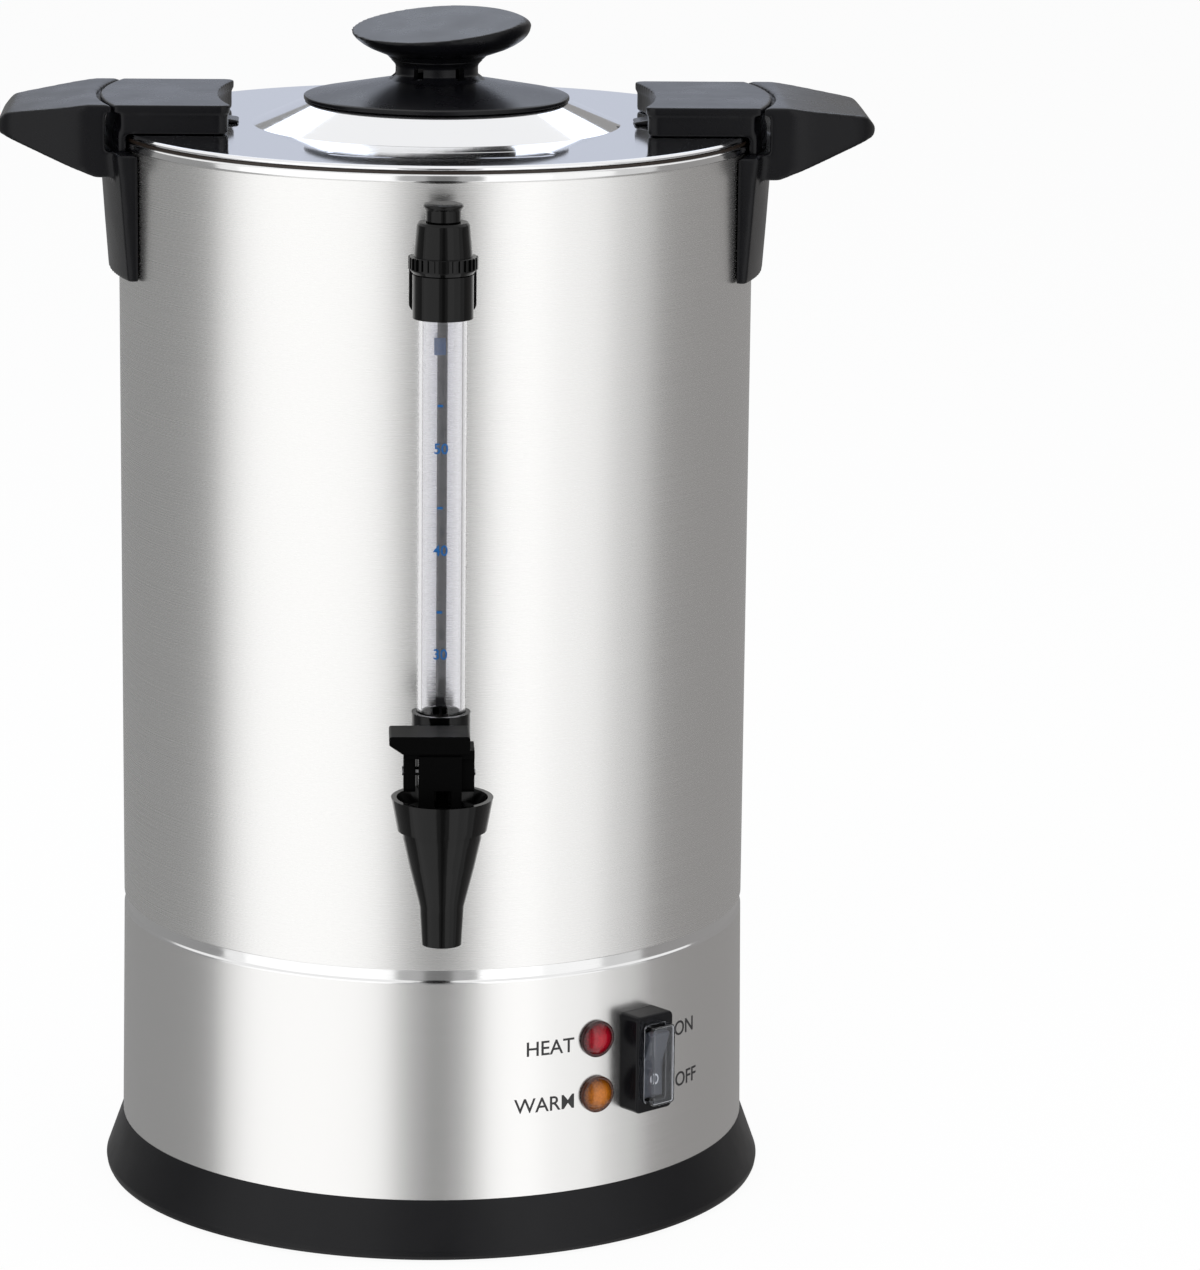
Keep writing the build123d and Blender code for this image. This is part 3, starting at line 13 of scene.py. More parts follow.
import bmesh
import bpy
import numpy as np
from mathutils import Matrix, Vector
from mathutils.bvhtree import BVHTree

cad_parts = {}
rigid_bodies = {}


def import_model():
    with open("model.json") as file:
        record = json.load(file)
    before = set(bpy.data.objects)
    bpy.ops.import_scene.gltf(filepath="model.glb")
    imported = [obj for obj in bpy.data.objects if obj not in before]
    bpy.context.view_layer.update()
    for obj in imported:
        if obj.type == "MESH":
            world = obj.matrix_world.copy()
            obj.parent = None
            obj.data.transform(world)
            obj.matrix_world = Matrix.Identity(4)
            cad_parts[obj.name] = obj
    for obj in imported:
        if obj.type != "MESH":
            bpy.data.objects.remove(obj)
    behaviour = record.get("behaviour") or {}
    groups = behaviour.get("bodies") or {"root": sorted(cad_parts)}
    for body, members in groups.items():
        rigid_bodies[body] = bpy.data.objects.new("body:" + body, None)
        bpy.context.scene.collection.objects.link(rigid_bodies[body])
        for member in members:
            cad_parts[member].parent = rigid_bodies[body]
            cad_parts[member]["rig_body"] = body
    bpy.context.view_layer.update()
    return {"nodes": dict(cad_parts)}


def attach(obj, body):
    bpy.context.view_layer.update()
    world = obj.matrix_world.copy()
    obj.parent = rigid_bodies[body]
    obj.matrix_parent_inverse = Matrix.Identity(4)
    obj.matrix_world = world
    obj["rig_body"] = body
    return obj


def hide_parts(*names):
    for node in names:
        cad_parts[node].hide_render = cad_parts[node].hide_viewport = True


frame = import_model()
scene = bpy.context.scene

# %% [markdown]
# ## Sizes
#
# Pieces that are turned again here repeat a few of the CAD's named sizes, in millimetres. Blender works in
# metres, so one helper turns a millimetre value into metres, and each outline stays readable.

# %% Sizes in millimetres
MM = 0.001
TANK_R = 110.0                  # outside of the tank wall
SHEET = 0.8                     # steel thickness
RIM_Z = 373.2                   # top of the rolled rim
SEAM_Z = 102.0                  # lower edge of the tank wall
SKIRT_LOW_R, SKIRT_LOW_Z = 111.0, 20.8
GROOVE_Z = 97.5                 # where the skirt turns in under the tank wall
GAUGE_Y = -123.0                # the sight gauge's axis
LID_FLAT_Z = 375.7              # top of the lid's flange
LID_TOP_Z = 383.9               # top of the lid's cone
SWITCH_AZ, SWITCH_Z = 38.9, 63.9
LAMP_AZ, RED_Z, AMBER_Z = 29.5, 73.7, 54.0
INLET_AZ, INLET_Z = 180.0, 60.0


def skirt_radius(z):
    """Outside radius of the skirt at a height, in millimetres."""
    share = (z - SKIRT_LOW_Z) / (GROOVE_Z - SKIRT_LOW_Z)
    return SKIRT_LOW_R + share * (TANK_R - SKIRT_LOW_R)


def on_wall(azimuth, radius, z):
    """A place on a wall in metres: local X runs along it, local Y is up and local Z points outwards."""
    a = math.radians(azimuth)
    out = Vector((math.sin(a), -math.cos(a), 0))
    along = Vector((math.cos(a), math.sin(a), 0))
    place = Matrix((along, Vector((0, 0, 1)), out)).transposed().to_4x4()
    place.translation = Vector((radius * out.x, radius * out.y, z)) * MM
    return place


print("skirt radius at the switch:", round(skirt_radius(SWITCH_Z), 2), "mm")

# %% [markdown]
# ## The camera and the light
#
# The camera stands nearly two metres away with a long lens, a little above the lid and turned slightly off
# the urn's axis. A curved metal tank shows its surroundings more than its own colour, so the studio is
# built for what the steel mirrors: a white world, and curved cards that stand round the urn. Dim cards at
# the sides give the grey edges, bright ones in front give the two broad shines, and a dim one in the middle
# gives the dark band between them. Only glossy rays see the cards, so they never hide another view, and the
# soft lamps light the scene without showing in the steel.

# %% Camera
LENS, SENSOR = 154.13, 36.0                         # millimetres
CAMERA_PLACE = (-0.036057, -1.877869, 0.622146)     # metres
CAMERA_TURN = (77.153815, -0.647166, -2.743858)     # degrees

camera = bpy.data.objects.new("camera", bpy.data.cameras.new("camera"))
scene.collection.objects.link(camera)
camera.data.lens = LENS
camera.data.sensor_width = SENSOR
camera.data.clip_start, camera.data.clip_end = 0.05, 50
camera.location = CAMERA_PLACE
camera.rotation_euler = [math.radians(a) for a in CAMERA_TURN]
scene.camera = camera
scene.view_settings.view_transform = "Standard"
print("camera", tuple(round(c, 3) for c in camera.location))

# %% World and floor
WORLD_COLOR, WORLD_STRENGTH = (0.95, 0.97, 1.0, 1), 0.55
FLOOR_HALF = 30             # metres
FLOOR_GLOW = 0.94           # how much of the floor's own shading is washed out for the eye


def node_math(tree, operation, first, second):
    """A math node fed by two sockets, or by a socket and a plain number."""
    node = tree.nodes.new("ShaderNodeMath")
    node.operation = operation
    tree.links.new(first, node.inputs[0])
    if isinstance(second, float):
        node.inputs[1].default_value = second
    else:
        tree.links.new(second, node.inputs[1])
    return node.outputs[0]


def mixed_light(tree, share, plain, white, output):
    """Sends a mix of a plain shader and a white one to a tree's output."""
    white.inputs["Color"].default_value = (1, 1, 1, 1)
    white.inputs["Strength"].default_value = 1.0
    mix = tree.nodes.new("ShaderNodeMixShader")
    tree.links.new(share, mix.inputs[0])
    tree.links.new(plain.outputs[0], mix.inputs[1])
    tree.links.new(white.outputs[0], mix.inputs[2])
    tree.links.new(mix.outputs[0], tree.nodes[output].inputs["Surface"])


scene.world = bpy.data.worlds.new("studio")
scene.world.use_nodes = True
sky = scene.world.node_tree
base = sky.nodes["Background"]
base.inputs["Color"].default_value = WORLD_COLOR
base.inputs["Strength"].default_value = WORLD_STRENGTH
ray = sky.nodes.new("ShaderNodeLightPath").outputs
seen = node_math(sky, "MAXIMUM", ray["Is Camera Ray"], ray["Is Glossy Ray"])
seen = node_math(sky, "MAXIMUM", seen, ray["Is Transmission Ray"])
mixed_light(sky, seen, base, sky.nodes.new("ShaderNodeBackground"), "World Output")

floor_mesh = bpy.data.meshes.new("floor")
corners = [(-FLOOR_HALF, -FLOOR_HALF, 0), (FLOOR_HALF, -FLOOR_HALF, 0),
           (FLOOR_HALF, FLOOR_HALF, 0), (-FLOOR_HALF, FLOOR_HALF, 0)]
floor_mesh.from_pydata(corners, [], [(0, 1, 2, 3)])
floor = bpy.data.objects.new("floor", floor_mesh)
scene.collection.objects.link(floor)
floor_paint = bpy.data.materials.new("floor_paint")
floor_paint.use_nodes = True
paint = floor_paint.node_tree
matt = paint.nodes["Principled BSDF"]
matt.inputs["Base Color"].default_value = (0.9, 0.9, 0.9, 1)
matt.inputs["Roughness"].default_value = 0.9
ray = paint.nodes.new("ShaderNodeLightPath").outputs
seen = node_math(paint, "MAXIMUM", ray["Is Camera Ray"], ray["Is Glossy Ray"])
seen = node_math(paint, "MULTIPLY", seen, FLOOR_GLOW)
mixed_light(paint, seen, matt, paint.nodes.new("ShaderNodeEmission"), "Material Output")
floor_mesh.materials.append(floor_paint)
floor.visible_glossy = False
print("world strength", WORLD_STRENGTH, "and a floor", 2 * FLOOR_HALF, "m wide")

# %% Lamps and cards


def soft_lamp(name, place, aim, size, watts):
    """A square white lamp, turned towards a point, that doesn't show in reflections."""
    data = bpy.data.lights.new(name, "AREA")
    data.shape, data.size, data.size_y = "RECTANGLE", size, size
    data.energy = watts
    lamp = bpy.data.objects.new(name, data)
    scene.collection.objects.link(lamp)
    lamp.location = place
    lamp.rotation_euler = (Vector(aim) - Vector(place)).to_track_quat("-Z", "Y").to_euler()
    lamp.visible_glossy = False


def glossy_card(name, azimuths, radius, heights, strength, color=(1, 1, 1)):
    """A standing curved card, in degrees and metres, that only glossy rays see."""
    angles = [math.radians(a) for a in np.linspace(*azimuths, 24)]
    low, high = heights
    verts = [(radius * math.sin(a), -radius * math.cos(a), z) for a in angles for z in (low, high)]
    faces = [(2 * i, 2 * i + 2, 2 * i + 3, 2 * i + 1) for i in range(len(angles) - 1)]
    mesh = bpy.data.meshes.new(name)
    mesh.from_pydata(verts, [], faces)
    card = bpy.data.objects.new(name, mesh)
    scene.collection.objects.link(card)
    paint = bpy.data.materials.new(name)
    paint.use_nodes = True
    nodes = paint.node_tree.nodes
    nodes.remove(nodes["Principled BSDF"])
    glow = nodes.new("ShaderNodeEmission")
    glow.inputs["Color"].default_value = (*color, 1)
    glow.inputs["Strength"].default_value = strength
    paint.node_tree.links.new(glow.outputs[0], nodes["Material Output"].inputs["Surface"])
    mesh.materials.append(paint)
    card.visible_camera = card.visible_diffuse = card.visible_shadow = card.visible_transmission = False


FULL_HEIGHT = (-1.7, 1.7)
SIDE_HEIGHT = (-1.7, 0.86)

soft_lamp("key", (-0.9, -1.9, 1.5), (0, 0, 0.2), 1.6, 22)
soft_lamp("fill", (1.3, -1.7, 1.1), (0, 0, 0.2), 1.4, 12)
soft_lamp("top", (0.0, 0.3, 1.9), (0, 0, 0.3), 1.6, 14)
glossy_card("card_left", (-168, -82), 1.32, SIDE_HEIGHT, 0.32)
glossy_card("card_right", (80, 168), 1.32, SIDE_HEIGHT, 0.33, (1.0, 0.98, 0.97))
glossy_card("card_right_front", (62, 80), 1.30, FULL_HEIGHT, 0.72)
glossy_card("card_back", (168, 192), 1.34, (-0.6, 0.90), 1.15, (0.50, 0.53, 0.61))
glossy_card("card_back_high", (150, 210), 1.36, (0.74, 1.35), 1.9, (0.82, 0.88, 1.0))
glossy_card("softbox_left", (-72, -15), 1.30, FULL_HEIGHT, 1.27)
glossy_card("softbox_right", (15, 38), 1.30, FULL_HEIGHT, 1.36)
glossy_card("softbox_far_right", (38, 62), 1.30, FULL_HEIGHT, 1.12)
glossy_card("card_middle", (-14, 15), 1.28, FULL_HEIGHT, 0.48)
glossy_card("gap_middle", (-4, 6), 1.26, FULL_HEIGHT, 0.20)

# %% [markdown]
# ## Finishes
#
# Each finish is a small node tree on one Principled shader. Metals, mouldings and rubber differ in how
# rough they are and in how that roughness varies, so every tree mixes a fine noise into its roughness and
# bump. Brushed steel needs one more thing: its scratches run round the tank, so the noise is read in
# coordinates bent round the axis, stretched along the arc and packed tight along Z.

# %% Finish helpers


class Finish:
    """A material under construction: its tree, its Principled shader and short ways to add nodes."""

    def __init__(self, name, color, roughness, metallic=0.0, **sockets):
        self.made = bpy.data.materials.new(name)
        self.made.use_nodes = True
        self.tree = self.made.node_tree
        self.shader = self.tree.nodes["Principled BSDF"]
        self.set("Base Color", (*color, 1))
        self.set("Roughness", roughness)
        self.set("Metallic", metallic)
        for socket, value in sockets.items():
            self.set(socket.replace("_", " "), value)

    def set(self, socket, value):
        self.shader.inputs[socket].default_value = value

    def node(self, kind, **values):
        node = self.tree.nodes.new("ShaderNode" + kind)
        for name, value in values.items():
            setattr(node, name, value)
        return node

    def link(self, source, target):
        self.tree.links.new(source, target)

    def coords(self, scale=(1, 1, 1), centre=(0, 0, 0)):
        """Object coordinates, scaled about a point of the piece."""
        place = self.node("TexCoord")
        mapping = self.node("Mapping")
        mapping.inputs["Scale"].default_value = scale
        mapping.inputs["Location"].default_value = [-c * s for c, s in zip(centre, scale)]
        self.link(place.outputs["Object"], mapping.inputs["Vector"])
        return mapping.outputs["Vector"]

    def round_axis(self, along, up):
        """Coordinates bent round the urn's axis: the arc's angle times along, the height times up."""
        place = self.node("SeparateXYZ")
        self.link(self.coords(), place.inputs[0])
        angle = self.node("Math", operation="ARCTAN2")
        self.link(place.outputs["Y"], angle.inputs[0])
        self.link(place.outputs["X"], angle.inputs[1])
        arc = self.node("Math", operation="MULTIPLY")
        arc.inputs[1].default_value = along
        self.link(angle.outputs[0], arc.inputs[0])
        height = self.node("Math", operation="MULTIPLY")
        height.inputs[1].default_value = up
        self.link(place.outputs["Z"], height.inputs[0])
        bent = self.node("CombineXYZ")
        self.link(arc.outputs[0], bent.inputs["X"])
        self.link(height.outputs[0], bent.inputs["Z"])
        return bent.outputs[0]

    def noise(self, vector, scale, detail=3.0):
        noise = self.node("TexNoise")
        noise.inputs["Scale"].default_value = scale
        noise.inputs["Detail"].default_value = detail
        noise.inputs["Roughness"].default_value = 0.5
        self.link(vector, noise.inputs["Vector"])
        return noise.outputs["Fac"]

    def ranged(self, value, low, high, socket):
        """Sends a 0 to 1 value, stretched to a range, to one of the shader's sockets."""
        ranged = self.node("MapRange")
        ranged.inputs["From Min"].default_value = 0.3
        ranged.inputs["From Max"].default_value = 0.7
        ranged.inputs["To Min"].default_value = low
        ranged.inputs["To Max"].default_value = high
        self.link(value, ranged.inputs["Value"])
        self.link(ranged.outputs[0], self.shader.inputs[socket])

    def tint(self, value, dark, light, low=0.35, high=0.65):
        """Sends a value through a two-colour ramp to the base colour."""
        ramp = self.node("ValToRGB")
        ramp.color_ramp.elements[0].position = low
        ramp.color_ramp.elements[0].color = (*dark, 1)
        ramp.color_ramp.elements[1].position = high
        ramp.color_ramp.elements[1].color = (*light, 1)
        self.link(value, ramp.inputs[0])
        self.link(ramp.outputs[0], self.shader.inputs["Base Color"])

    def bump(self, value, strength, distance):
        bump = self.node("Bump")
        bump.inputs["Strength"].default_value = strength
        bump.inputs["Distance"].default_value = distance
        self.link(value, bump.inputs["Height"])
        self.link(bump.outputs[0], self.shader.inputs["Normal"])


def moulded(name, color, roughness, grain=0.05, specular=0.5, **sockets):
    """Plastic or rubber with a fine moulded grain. A low specular level keeps a black moulding black."""
    made = Finish(name, color, roughness, Specular_IOR_Level=specular, **sockets)
    fine = made.noise(made.coords(), 2200, 2)
    made.ranged(made.noise(made.coords(), 60, 4), roughness * 0.88, roughness * 1.14, "Roughness")
    made.bump(fine, grain, 0.00012)
    return made.made


# %% [markdown]
# ### Steel
#
# The tank and skirt are satin steel, brushed round the axis. The shine spreads up and down across the
# scratches, so the shader is anisotropic with its tangent running round Z. The lid and the basket are
# pressed and polished instead, with only a faint swirl in the mirror.

# %% Steel finishes


def brushed_round(name, color, roughness, aniso):
    made = Finish(name, color, roughness, 1.0, Anisotropic=aniso)
    tangent = made.node("Tangent", direction_type="RADIAL", axis="Z")
    made.link(tangent.outputs[0], made.shader.inputs["Tangent"])
    scratches = made.noise(made.round_axis(0.5, 5200), 1.0)
    made.ranged(scratches, roughness - 0.015, roughness + 0.02, "Roughness")
    made.tint(scratches, [c * 0.985 for c in color], color)
    made.bump(scratches, 0.012, 0.00001)
    return made.made


def polished(name, color, roughness, swirl=0.02):
    made = Finish(name, color, roughness, 1.0)
    lines = made.noise(made.round_axis(0.6, 900), 1.0)
    made.ranged(lines, roughness * 0.75, roughness * 1.3, "Roughness")
    made.bump(made.noise(made.coords(), 26, 2), swirl, 0.0006)
    return made.made


STEEL = brushed_round("satin_steel", (0.80, 0.795, 0.785), 0.27, 0.35)
STEEL_SKIRT = brushed_round("satin_steel_skirt", (0.79, 0.785, 0.775), 0.25, 0.35)
MIRROR = polished("polished_steel", (0.86, 0.865, 0.88), 0.07)
GROOVE_STEEL = polished("groove_steel", (0.82, 0.82, 0.82), 0.12)
BASKET_STEEL = polished("bright_steel", (0.80, 0.80, 0.81), 0.10)
DULL_STEEL = polished("sheath_steel", (0.45, 0.43, 0.41), 0.42, 0.05)
ZINC = polished("zinc_plate", (0.66, 0.66, 0.68), 0.25, 0.05)
ALLOY = polished("cast_alloy", (0.62, 0.62, 0.61), 0.48, 0.12)
BRASS = polished("turned_brass", (0.78, 0.58, 0.26), 0.22, 0.03)
print("steels:", [m.name for m in (STEEL, STEEL_SKIRT, MIRROR, BASKET_STEEL)])

# %% [markdown]
# ### Mouldings, glass and jewels
#
# The handles, ears and knob are one satin black plastic, and the plinth is a little rougher. The tap and
# gauge fittings come off a polished tool, so they are smoother. The lamps are clear coloured plastic with a
# pressed pattern of small facets behind the dome, drawn here by Voronoi cells that tint and bump it.
# Each lamp's colour is also darkened towards its rim, which is painted shade on the dome.

# %% Moulded and clear finishes
SATIN = moulded("satin_black", (0.003, 0.003, 0.004), 0.28, 0.05, 0.20)
PLINTH = moulded("plinth_black", (0.004, 0.004, 0.005), 0.36, 0.06, 0.22)
GLOSS = moulded("gloss_black", (0.001, 0.001, 0.001), 0.12, 0.015, 0.24)
LEVER = moulded("lever_black", (0.002, 0.002, 0.002), 0.35, 0.03, 0.02)
SWITCH = moulded("switch_black", (0.004, 0.004, 0.005), 0.22, 0.04, 0.16)
ROCKER = moulded("rocker_grey", (0.085, 0.088, 0.100), 0.30, 0.03, 0.4)
SILICONE = moulded("silicone", (0.72, 0.71, 0.68), 0.45, 0.05, Subsurface_Weight=0.2)
# The lid's seal is painted brown-black, which stands in for the shadow in the gap between the lid's hem and
# the tank's bead.
SEAL_AND_GAP_SHADE = moulded("seal_and_painted_gap_shade", (0.018, 0.011, 0.007), 0.35, 0.03, 0.4)
RUBBER = moulded("foot_rubber", (0.020, 0.020, 0.020), 0.75, 0.25)
CERAMIC = moulded("white_ceramic", (0.82, 0.80, 0.75), 0.55, 0.15)
MICA = moulded("mica", (0.50, 0.42, 0.30), 0.55, 0.5)
SLEEVE = moulded("wire_sleeve", (0.55, 0.08, 0.06), 0.7, 0.6)
PRINT = moulded("print_black", (0.015, 0.015, 0.016), 0.5, 0.02)
PRINT_WHITE = moulded("print_white", (0.80, 0.80, 0.80), 0.5, 0.02)
PRINT_BLUE = moulded("print_blue", (0.004, 0.085, 0.270), 0.5, 0.02, 0.2)


def clear(name, color, roughness, ior):
    made = Finish(name, color, roughness, 0.0, Transmission_Weight=1.0, IOR=ior)
    made.ranged(made.noise(made.coords(), 40, 2), roughness, roughness + 0.015, "Roughness")
    return made.made


TUBE = clear("clear_tube", (0.90, 0.90, 0.925), 0.0, 1.47)
HOOD = clear("smoky_clear", (0.78, 0.80, 0.84), 0.04, 1.40)

# painted shade: each lamp's colour darkens from the middle of its dome out to the rim
RIM_SHADE_R = 6.4               # where the lamp's tint is darkest
RIM_SHADE_MIDDLE_OUT = 1.2             # from the skirt to the middle of the tint


def jewel(name, color, rim_shade, z):
    """Coloured clear plastic over small facets, with painted shade that darkens it towards the lamp's rim."""
    made = Finish(name, color, 0.09, 0.0, Transmission_Weight=0.2, IOR=1.5)
    cells = made.node("TexVoronoi")
    cells.inputs["Scale"].default_value = 1300
    made.link(made.coords(), cells.inputs["Vector"])
    middle = on_wall(LAMP_AZ, skirt_radius(z) + RIM_SHADE_MIDDLE_OUT, z).translation
    span = made.node("VectorMath", operation="LENGTH")
    made.link(made.coords((1 / (RIM_SHADE_R * MM),) * 3, middle), span.inputs[0])
    mixed = made.node("Math", operation="MULTIPLY_ADD")
    mixed.inputs[1].default_value = 0.16
    made.link(cells.outputs["Distance"], mixed.inputs[0])
    made.link(span.outputs["Value"], mixed.inputs[2])
    # painted shade: the tint runs from the lamp's own colour in the middle to the darker rim colour at its
    # edge
    made.tint(mixed.outputs[0], color, rim_shade, 0.48, 0.98)
    made.bump(cells.outputs["Distance"], 0.05, 0.0002)
    return made.made


RED = jewel("red_jewel", (0.50, 0.004, 0.020), (0.030, 0.001, 0.002), RED_Z)
AMBER = jewel("amber_jewel", (0.66, 0.20, 0.012), (0.060, 0.012, 0.001), AMBER_Z)
print(len(bpy.data.materials), "materials")

# %% [markdown]
# ## Placing a piece
#
# A piece made here takes the place of a CAD node. It gets one finish, rides on the node's body and hides
# the nodes that it stands for, so that the CAD shape under it is left out. Where a CAD shape is right as it
# is, the node only gets its finish.


def place_piece(obj, finish, node, stands_for=()):
    """Gives a piece its finish and the body of a CAD node, and hides the nodes that it stands for."""
    obj.data.materials.clear()
    obj.data.materials.append(finish)
    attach(obj, frame["nodes"][node]["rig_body"])
    if stands_for:
        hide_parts(*stands_for)
    return obj


def finished(finish, *nodes):
    """CAD nodes whose shape is right: they only get their finish."""
    for node in nodes:
        frame["nodes"][node].data.materials.clear()
        frame["nodes"][node].data.materials.append(finish)


def link_mesh(name, bm):
    mesh = bpy.data.meshes.new(name)
    bm.to_mesh(mesh)
    bm.free()
    obj = bpy.data.objects.new(name, mesh)
    scene.collection.objects.link(obj)
    return obj


def even_shading(obj, angle=32):
    """Smooth shading with sharp creases, weighted so that big faces stay flat."""
    obj.data.shade_smooth()
    obj.data.set_sharp_from_angle(angle=math.radians(angle))
    weighted = obj.modifiers.new("even", "WEIGHTED_NORMAL")
    weighted.keep_sharp = True
    weighted.weight = 80
    return obj


# %% [markdown]
# ## Lathe work
#
# `turned` spins a closed outline round an upright axis, as a lathe does, which gives the polished shells
# perfectly even faces. An outline lists its corners in millimetres, and a third number rounds a corner, so
# a rolled rim or a pressed step takes one line to draw.

# %% Outlines and the lathe


def rounded(outline, steps=5):
    """A closed outline of (r, z) or (r, z, radius) points, in millimetres, with its corners rounded."""
    made = []
    count = len(outline)
    for i, point in enumerate(outline):
        here = np.array(point[:2], float)
        if len(point) < 3:
            made.append(here)
            continue
        before = np.array(outline[i - 1][:2], float) - here
        after = np.array(outline[(i + 1) % count][:2], float) - here
        u, v = before / np.linalg.norm(before), after / np.linalg.norm(after)
        half = math.acos(max(-1, min(1, float(u @ v)))) / 2
        reach = min(point[2] / math.tan(half), 0.49 * np.linalg.norm(before), 0.49 * np.linalg.norm(after))
        radius = reach * math.tan(half)
        centre = here + (u + v) / np.linalg.norm(u + v) * radius / math.sin(half)
        start, end = here + u * reach - centre, here + v * reach - centre
        turn = math.atan2(start[0] * end[1] - start[1] * end[0], float(start @ end))
        for k in range(steps + 1):
            a = turn * k / steps
            c, s = math.cos(a), math.sin(a)
            made.append(centre + (start[0] * c - start[1] * s, start[0] * s + start[1] * c))
    return made


def bridge(bm, ring, following):
    """Faces between two loops of points. A loop that repeats one point makes a cone or a pole."""
    made = []
    count = len(ring)
    for k in range(count):
        corners = [ring[k], ring[(k + 1) % count], following[(k + 1) % count], following[k]]
        corners = list(dict.fromkeys(corners))
        if len(corners) > 2:
            made.append(bm.faces.new(corners))
    return made


def spin(outline, segments, centre=(0, 0)):
    """Spins a closed outline in millimetres round an upright axis."""
    bm = bmesh.new()
    rings = []
    angles = [2 * math.pi * k / segments for k in range(segments)]
    for r, z in outline:
        if r < 1e-6:
            rings.append([bm.verts.new((centre[0] * MM, centre[1] * MM, z * MM))] * segments)
            continue
        ring = []
        for a in angles:
            x, y = r * math.cos(a) + centre[0], r * math.sin(a) + centre[1]
            ring.append(bm.verts.new((x * MM, y * MM, z * MM)))
        rings.append(ring)
    for ring, following in zip(rings, rings[1:] + rings[:1]):
        bridge(bm, ring, following)
    bmesh.ops.recalc_face_normals(bm, faces=bm.faces)
    return bm


def turned(name, outline, finish, node, segments):
    """A turned piece that stands for its CAD node."""
    obj = link_mesh(name, spin(rounded(outline), segments))
    return place_piece(even_shading(obj), finish, node, (node,))


print("a rounded corner has", len(rounded([(0, 0), (1, 0, 0.2), (1, 1)])) - 2, "points")

# %% [markdown]
# ## Copies of CAD nodes
#
# `refined` copies a CAD node, welds its loose triangles, joins the flat ones and rounds its sharp edges a
# little, because a real moulding never has a perfectly sharp edge, and that thin highlight is what makes it
# look real. It suits shapes with flat and round faces; a lofted shape would lose its form.

# %% Copies with rounded edges
WELD = 2e-6                 # metres between points that are one
FLAT = math.radians(0.5)    # faces closer than this in angle are joined


def refined(node, name, finish, bevel=0.0, segments=3, angle=30):
    """A copy of a CAD node, whose edges sharper than the angle are rounded by bevel millimetres."""
    bm = bmesh.new()
    bm.from_mesh(frame["nodes"][node].data)
    bmesh.ops.remove_doubles(bm, verts=bm.verts, dist=WELD)
    bmesh.ops.dissolve_limit(bm, angle_limit=FLAT, verts=bm.verts, edges=bm.edges)
    obj = link_mesh(name, bm)
    for layer in [a for a in obj.data.attributes if a.name == "custom_normal"]:
        obj.data.attributes.remove(layer)
    if bevel:
        edge = obj.modifiers.new("edge", "BEVEL")
        edge.width, edge.segments = bevel * MM, segments
        edge.limit_method, edge.angle_limit = "ANGLE", math.radians(angle)
        edge.use_clamp_overlap = True
        edge.harden_normals = False
    return place_piece(even_shading(obj, angle), finish, node, (node,))


print("points closer than", WELD / MM, "mm are welded")

# %% [markdown]
# ## Solids for mouldings
#
# The ears, the handles and the knob's cap have soft edges everywhere, which a bevel can't give. They are put
# together from plain solids by boolean steps, as a model maker would block them out, and `softened` then
# melts the block into small even faces and smooths it. One ear and one handle are made, and the left-hand
# ones are their mirror images.

# %% Solids and boolean steps


def baked(obj):
    """The object's mesh with its modifiers applied."""
    graph = bpy.context.evaluated_depsgraph_get()
    graph.update()
    return bpy.data.meshes.new_from_object(obj.evaluated_get(graph))


def combine(target, other, operation):
    """Joins, cuts or keeps what is common of two solids; the second one is used up."""
    step = target.modifiers.new("combine", "BOOLEAN")
    step.operation, step.object, step.solver = operation, other, "EXACT"
    made = baked(target)
    target.modifiers.remove(step)
    target.data = made
    bpy.data.objects.remove(other)
    return target


def prism(name, outline, span, upright=False):
    """A prism over an outline in millimetres: (x, z) points along Y or, upright, (x, y) points along Z."""
    bm = bmesh.new()
    ends = []
    for depth in span:
        points = [(a, b, depth) if upright else (a, depth, b) for a, b in outline]
        ends.append([bm.verts.new(Vector(p) * MM) for p in points])
    bm.faces.new(ends[0])
    bm.faces.new(ends[1])
    bridge(bm, *ends)
    bmesh.ops.recalc_face_normals(bm, faces=bm.faces)
    return link_mesh(name, bm)


def strip(near, far, half):
    """A rectangle from near to far along X, with half its width on each side of the axis."""
    return [(near, -half), (far, -half), (far, half), (near, half)]


def lathed(name, outline):
    """A plain solid of revolution, for a boolean step."""
    return link_mesh(name, spin(outline, 240))


def softened(obj, voxel, passes):
    """Melts a solid into even quads and smooths it, so that every edge gets a moulded radius."""
    melt = obj.modifiers.new("melt", "REMESH")
    melt.mode, melt.voxel_size, melt.use_smooth_shade = "VOXEL", voxel * MM, True
    smooth = obj.modifiers.new("smooth", "SMOOTH")
    smooth.factor, smooth.iterations = 0.5, passes
    made = baked(obj)
    obj.modifiers.clear()
    obj.data = made
    return obj


def mirrored(obj, name):
    """A second object, mirrored across the YZ plane."""
    bm = bmesh.new()
    bm.from_mesh(obj.data)
    bmesh.ops.scale(bm, vec=(-1, 1, 1), verts=bm.verts)
    bmesh.ops.recalc_face_normals(bm, faces=bm.faces)
    for face in bm.faces:
        face.smooth = True
    return link_mesh(name, bm)


print("solid helpers ready")

# %% [markdown]
# ## The tank and the skirt
#
# The tank wall is one drawn sheet with its top edge rolled outwards into a bead, and the skirt is a second
# shell whose neck goes up inside the tank, which leaves the narrow groove between them. Both are turned, so
# their reflections run true. The bead and the groove get a brighter steel than the brushed walls.

# %% Tank wall and skirt
WALL_R = TANK_R - SHEET                 # inside of the tank wall
BEAD_R, BEAD_LOW_Z = 111.3, 370.4
NECK_R, NECK_TOP_Z = 109.15, 110.0      # the skirt's neck, inside the tank

